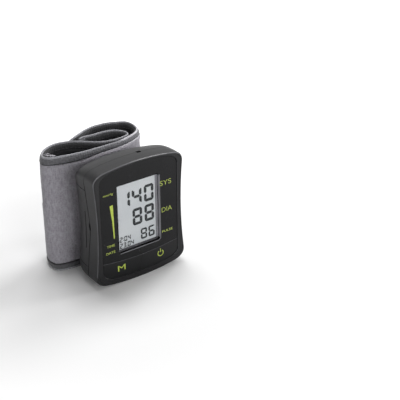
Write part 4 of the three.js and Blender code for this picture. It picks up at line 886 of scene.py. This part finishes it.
def finishTape(piece, run=0.0):  # a pale bead as a painted highlight, brighter still as a painted highlight in one teased place, and a dark leg as painted shade inside and before run
    for material in (paintedShadeTape, paintedHighlightBead, paintedHighlightFibres):
        piece.data.materials.append(material)
    layer, sides = piece.data.uv_layers["along"].data, tapeEdge["sides"]
    paintedFuzzHighlight = run and piece.name.endswith("Top")
    for index, face in enumerate(piece.data.polygons[:-2 * (sides - 2)]):
        level, step = divmod(index, sides)
        row = level / cuff["perRow"] + 1.6 * waver(level * 0.3, step * 0.5, 0)
        if step in tapeEdge["bead"]:
            face.material_index = 3 if paintedFuzzHighlight and tapeEdge["paintedHighlightFrom"] < row < tapeEdge["paintedHighlightTo"] else 2
        elif step not in tapeEdge["outside"] or max(layer[i].uv.x for i in face.loop_indices) < run:
            face.material_index = 1


def bulge(z, rise):  # 0 at the bindings and 1 over the padded middle
    inside = min(z - cuff["hem"], cuff["height"] - cuff["hem"] + cuff["riseBy"] * rise - z)
    return 0.72 * (1 - (1 - clamp(inside / 2.6)) ** 2.4) + 0.28 * ease(inside, 0, 12)


def ripple(s, z, side):  # shallow creases of the fabric, mostly upright and slightly slanted
    large = waver(s["run"] * 0.085 + side * 31, z * 0.035, side * 7)
    return 0.22 * large + 0.09 * waver(s["run"] * 0.22 + side * 17, z * 0.09, 3)


def layerSection(side):  # the cover's outline where side is 1, and the lining's where it is -1
    hem, height = cuff["hem"], cuff["height"]
    rows = [hem - 1.0, hem - 0.2, hem + 0.3, hem + 0.8, hem + 1.6]
    rows += [hem + 3.2 + (height - 2 * hem - 6.4) * i / 30 for i in range(31)] + [height - z for z in rows[::-1]]

    def section(s):
        outer, inner = [], []
        rise = s["rise"] if side > 0 else 0
        pad = s["pad"] * (1 - 0.85 * ease(-s["place"].x, 24, 35))
        for level, z in enumerate(rows):
            z += cuff["riseBy"] * rise * (1 - ease(height - z, 5, 16))
            b = bulge(z, rise)
            puff, shift = s["moves"][side][level] if side in s["moves"] else (0, 0)  # from the cloth simulation
            half = 0.92 + s["tuck"] * ((0.38 + cuff["swell"] * pad) * b + ripple(s, z, side) * b + puff)
            z += shift
            if side > 0:  # fuller shoulders along the right part of the near wall
                half += 0.7 * pad * ease(s["place"].x, -26, -8) * b * (1 - 0.5 * ease(min(z, height - z), 8, 20))
            outer.append((side * half, z))
            if level % 3 == 0 or level == len(rows) - 1:
                inner.append((side * max(half - cuff["sheet"], 0.06), z))
        return outer + inner[::-1]
    return section


def bindingSection(atTop):  # a beaded edge and two legs that fold down over the cover and the lining
    profile = [(1.02, 4.55), (1.3, 4.62), (1.42, 4.35), (1.44, 3.9), (1.38, 3.3), (1.32, 2.7), (1.24, 2.1),
               (1.08, 1.6), (0.78, 1.25), (0.46, 1.02), (0.5, 0.66), (0.42, 0.28), (0.2, 0.05)]
    loop = [(x, cuff["height"] - z if atTop else z) for x, z in profile + [(-x, z) for x, z in profile[::-1]]]
    return lambda s: loop


def bindingWobble(atTop):  # sewn by hand along a soft edge, the tape never runs quite straight
    seed = 5.0 if atTop else 11.0

    def wobble(s, across, z):
        depth = (cuff["height"] - z) if atTop else z
        if atTop and across > 0 and depth > 1.2:  # the tape is narrower where the padding pushes up
            z += cuff["riseBy"] * s["rise"] * (depth - 1.2) / 3.4
        edge = clamp((depth - 3.2) / 1.2)
        drop = 0.35 * waver(s["run"] * 0.12, seed, 0) * edge
        side = 0.14 * waver(s["run"] * 0.35, seed, depth * 0.4) * (1 if across > 0 else -1)
        lift = 0.22 * waver(s["run"] * 0.1, seed + 3, 0) * (1 - edge)
        return across + side, (z - drop - abs(lift)) if atTop else max(z + drop, 0.02)
    return wobble


def addStitches(name, stations, body):  # small rounded stitches along both edges of the cover and the lining
    vertices, faces, index, at = [], [], 1, stitch["pitch"]
    radius, low = stitch["radius"], stitch["inset"]
    high = cuff["height"] - low
    while at < stations[-1]["run"] - stitch["length"] - 0.5:
        index = max(index - 3, 1)
        ends = []
        for k in range(5):
            run = at + stitch["length"] * k / 4
            while index < len(stations) - 1 and stations[index]["run"] < run:
                index += 1
            a, b = stations[index - 1], stations[index]
            t = (run - a["run"]) / max(b["run"] - a["run"], 1e-6)
            ends.append({**a, "place": a["place"].lerp(b["place"], t), "lean": a["lean"] * (1 - t) + b["lean"] * t,
                         "out": a["out"].lerp(b["out"], t).normalized()})
        for side, z in ((1, high), (-1, high), (1, low), (-1, low)):
            faces += ringFaces(6, 5, len(vertices))
            for s, share in zip(ends, (0.35, 0.85, 1.0, 0.85, 0.35)):
                lift = 1.1 * s["rise"] if side > 0 and z == high else 0
                vertices += [bandPoint(s, side * stitch["across"] + side * x, z + lift + y)
                             for x, y in circleOf(0, 0, radius * share, 6)]
        at += stitch["pitch"]
    return newPiece(name, vertices, faces, thread, body, sharp=60)


def endBinding(name, s, direction, body):  # tape folded round the band's short end, rounded at its top and foot
    profile = [(1.3, 4.6), (1.42, 4.2), (1.3, 3.4), (1.18, 2.2), (1.2, 1.0), (1.02, 0.4), (0.7, 0.12), (0.3, 0.0)]
    loop = profile + [(-x, d) for x, d in profile[::-1]]
    along = Vector((-s["out"].y, s["out"].x)) * direction
    vertices, uv, levels, middle = [], [], 36, cuff["height"] / 2
    for k in range(levels + 1):
        z = middle - (middle - 0.25) * math.cos(math.pi * k / levels)
        for across, depth in loop:
            shift = 0.12 * waver(z * 0.3, depth, across)
            across *= 0.3 + 0.7 * ease(min(z, cuff["height"] - z), -0.3, 2.2)
            vertices.append(bandPoint({**s, "place": s["place"] - along * (depth - 0.6)}, across + shift, z))
            uv.append((z, depth + across))
    newPiece(name, vertices, ringFaces(len(loop), levels + 1), tape, body, (), "binding_fabric", 55, uv)


def fuzzyStrand(name, rings, slot):
    vertices = sum(rings, [])
    uv = [(v.x * 900, v.z * 900) for v in vertices]
    newPiece(name, vertices, ringFaces(len(rings[0]), len(rings)), paintedHighlightFibres, "monitor", (), slot, 60, uv)


def makeFuzz(stations):  # loops of the knit, teased out where the full padding pushes them past the tape, coloured as a painted highlight
    rings = []
    for k, s in enumerate(s for s in stations if -14 < s["place"].x < 29 and s["pad"] > 0.45 and s["place"].y < 44):
        run = s["run"]
        top = cuff["height"] - 4.95 + cuff["riseBy"] * s["rise"] + 0.35 * waver(run * 0.5, 8, 0)
        swell = ease(k, 0, 26) * (0.75 + 0.5 * waver(run * 0.9, 2, 0))
        radii = [0.06 + (0.38 + 0.1 * waver(run * 2.2, j * 1.7, 4)) * swell for j in range(8)]
        rings.append([bandPoint(s, 1.7 + r * x, top + r * z) for r, (x, z) in zip(radii, circleOf(0, 0, 1, 8))])
    fuzzyStrand("teasedEdgePaintedHighlight", rings, "cover_fabric")


crumples = (  # from, to and radius
    ((-34.0, 44.2, 69.7), (-33.0, 40.4, 69.9), 0.3), ((-32.8, 45.2, 69.3), (-29.8, 45.4, 68.7), 0.26),
    ((-32.9, 40.1, 70.1), (-29.6, 38.9, 69.8), 0.34), ((-31.6, 43.4, 69.1), (-28.8, 42.4, 68.5), 0.26),
)


def makeCrumple():  # wisps of crumpled lining caught under the rim inside the left fold, coloured pale as painted highlights
    for number, (a, b, radius) in enumerate(crumples):
        rings, count = [], 26
        for k in range(count + 1):
            t = k / count
            swell = math.sin(math.pi * t) ** 0.5
            sway = [waver(k * step, number, seed) for step, seed in ((0.31, 1), (0.31, 5), (0.45, 9))]
            x, y, z = Vector(a).lerp(Vector(b), t) + Vector((sway[0], sway[1], 0.3 * sway[2])) * 0.9
            radii = [radius * swell * (1 + 0.5 * waver(k * 0.8, j, number)) + 0.02 for j in range(7)]
            rings.append([spot(x, y + r * c, z + r * d) for r, (c, d) in zip(radii, circleOf(0, 0, 1, 7))])
        fuzzyStrand("crumple" + str(number + 1), rings, "lining_fabric")


def makeHookTab():  # a strip of moulded hooks with rounded outer corners, sewn on the free end's lining
    stations = rollStations(tabRows, 6)
    section = [(-0.5, 0.25), (-0.3, 0.05), (0.3, 0), (0.5, 0.2)]
    vertices = []
    for s in stations:
        cut = 12 * max(0, 2 * s["run"] / stations[-1]["run"] - 1) ** 2
        ring = [(a, 10 + cut + d) for a, d in section] + [(a, 60 - cut - d) for a, d in section[::-1]]
        vertices += [bandPoint(s, a, z) for a, z in ring]
    newPiece("hookTab", vertices, ringFaces(2 * len(section), len(stations)), hookNylon, "cuff_flap", ["hook_tab"],
             "hook_nylon", 40)


def relaxFabric(stations, side):
    # the stuffed cloth is given some spare length and let buckle between its hems, which hold it
    section, levels, scale = layerSection(side), 41, cloth["scale"]  # it is simulated as a cloth of about a metre
    columns = sorted({*range(0, len(stations), 2), len(stations) - 1})
    start = [[bandPoint(stations[i], *section(stations[i])[k]) for k in range(0, levels, 2)] for i in columns]
    high = len(start[0])
    mesh = bpy.data.meshes.new("looseCloth")
    mesh.from_pydata([tuple(p * scale) for column in start for p in column], [],
                     [(i * high + k, (i + 1) * high + k, (i + 1) * high + k + 1, i * high + k + 1)
                      for i in range(len(columns) - 1) for k in range(high - 1)])
    sheet = addObject("looseCloth", mesh)
    held, spare = sheet.vertex_groups.new(name="held"), sheet.vertex_groups.new(name="spare")
    for i, column in enumerate(columns):
        crush = ease(-stations[column]["place"].x, 24, 33) if side < 0 else 0
        for k in range(high):
            hem = min(k, high - 1 - k) < 2 or min(i, len(columns) - 1 - i) < 1
            held.add([i * high + k], 1.0 if hem else cloth["hold"] * (1 - 0.8 * crush), "REPLACE")
            spare.add([i * high + k], crush, "REPLACE")
    fabric = sheet.modifiers.new("fabric", "CLOTH")
    for name, value in clothSettings.items():
        setattr(fabric.settings, name, value)
    fabric.settings.effector_weights.gravity = 0
    fabric.collision_settings.use_collision = False
    fabric.point_cache.frame_start, fabric.point_cache.frame_end = 1, cloth["frames"]
    for number in range(1, cloth["frames"] + 1):
        bpy.context.scene.frame_set(number)
    settled = evaluated(sheet).to_mesh()
    moved = [[Vector(settled.vertices[i * high + k].co) / scale - start[i][k] for k in range(high)]
             for i in range(len(columns))]
    bpy.data.objects.remove(sheet)
    bpy.context.scene.frame_set(1)
    largest = 0
    for index, s in enumerate(stations):
        left = min(index // 2, len(columns) - 2)
        t = min((index - columns[left]) / (columns[left + 1] - columns[left]), 1)
        room = (cloth["coverRoom"] - 0.25 * ease(-s["place"].x, 24, 32) if side > 0
                else cloth["liningRoom"] + cloth["foldRoom"] * ease(-s["place"].x, 25, 32))
        moves = s["moves"][side] = []
        for level in range(levels):
            pair = (level // 2, min(level // 2 + level % 2, high - 1))
            shift = sum((moved[left + a][k] * (t if a else 1 - t) * 0.5 for a in (0, 1) for k in pair),
                        Vector()) / mm
            puff = shift.x * s["out"].x * side + shift.y * s["out"].y * side
            largest = max(largest, abs(puff))
            moves.append((clamp(puff, -room, room), clamp(shift.z, -0.4, 0.4)))
    print("cloth settled, largest move", round(largest, 2), "mm")


def makeCuff():
    band, flap = rollStations(rollRows, cuff["perRow"]), rollStations(flapRows, cuff["perRow"])
    length, flapLength = band[-1]["run"], flap[-1]["run"]
    band[-1]["out"] = flap[0]["out"] = (band[-1]["out"] + flap[0]["out"]).normalized()
    for i, s in enumerate(band):
        row = i / cuff["perRow"]
        s["rise"] = ease(s["place"].x, -20, -2) * ease(row, 30, 32) * (1 - ease(row, 41, 45))
        s["tuck"] = ease(s["run"], 4.3, 10)  # the layers go flat under the binding of a short end
    for s in flap:
        s["tuck"] = ease(flapLength - s["run"], 4.3, 10)
    for stations in (band, flap):
        for side in (1, -1):
            relaxFabric(stations, side)
    for s in flap:
        near = max(s["run"] / flapLength - 0.78, 0) / 0.22  # the free end's top corner is rounded off
        s["sag"] = fold["cornerSag"] * near * near - 0.4 * ease(s["run"], 0, 0.25 * flapLength)
        s["run"] += length

    split, toward = band[-1]["place"], (flap[7]["place"] - flap[0]["place"]).normalized()
    start, end = spot(split.x, split.y, 35), spot(split.x + toward.x * 12, split.y + toward.y * 12, 35)
    paintedShadeRun = band[cuff["paintedShadeRows"] * cuff["perRow"]]["run"]
    parts = (("Cover", "cover", layerSection(1), knit, "cover_fabric", None),
             ("Lining", "lining", layerSection(-1), lining, "lining_fabric", None),
             ("BindingTop", "binding_top", bindingSection(True), tape, "binding_fabric", bindingWobble(True)),
             ("BindingBottom", "binding_bottom", bindingSection(False), paintedShadeFootTape, "binding_fabric",
              bindingWobble(False)))
    for kind, stations, long, carrier in (("cuff", band, length, "cuff_stiffener"),
                                          ("flap", flap, flapLength, "flap_binding_bottom")):
        whole = kind == "cuff"
        for name, node, section, material, slot, wobble in parts:
            piece = sweepPiece(kind + name, stations, section, material, "monitor" if whole else None,
                               [kind + "_" + node], slot, wobble)
            if not whole:
                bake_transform(piece)
            if wobble:
                finishTape(piece, paintedShadeRun if whole else 0)
                continue
            if whole and material == knit:
                paintShadeFrom(piece, paintedShadeRun)
    addStitches("cuffStitching", band, "monitor")
    for s in flap:
        s["run"] -= length
    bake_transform(addStitches("flapStitching", flap, None))
    endBinding("innerEndBinding", band[0], -1, "monitor")
    endBinding("flapEndBinding", flap[-1], 1, "cuff_flap")
    makeHookTab()
    makeFuzz(band)
    makeCrumple()
    print("cuff length", round(length), "mm and its free end", round(flapLength), "mm")


makeCuff()
print("cuff is made")
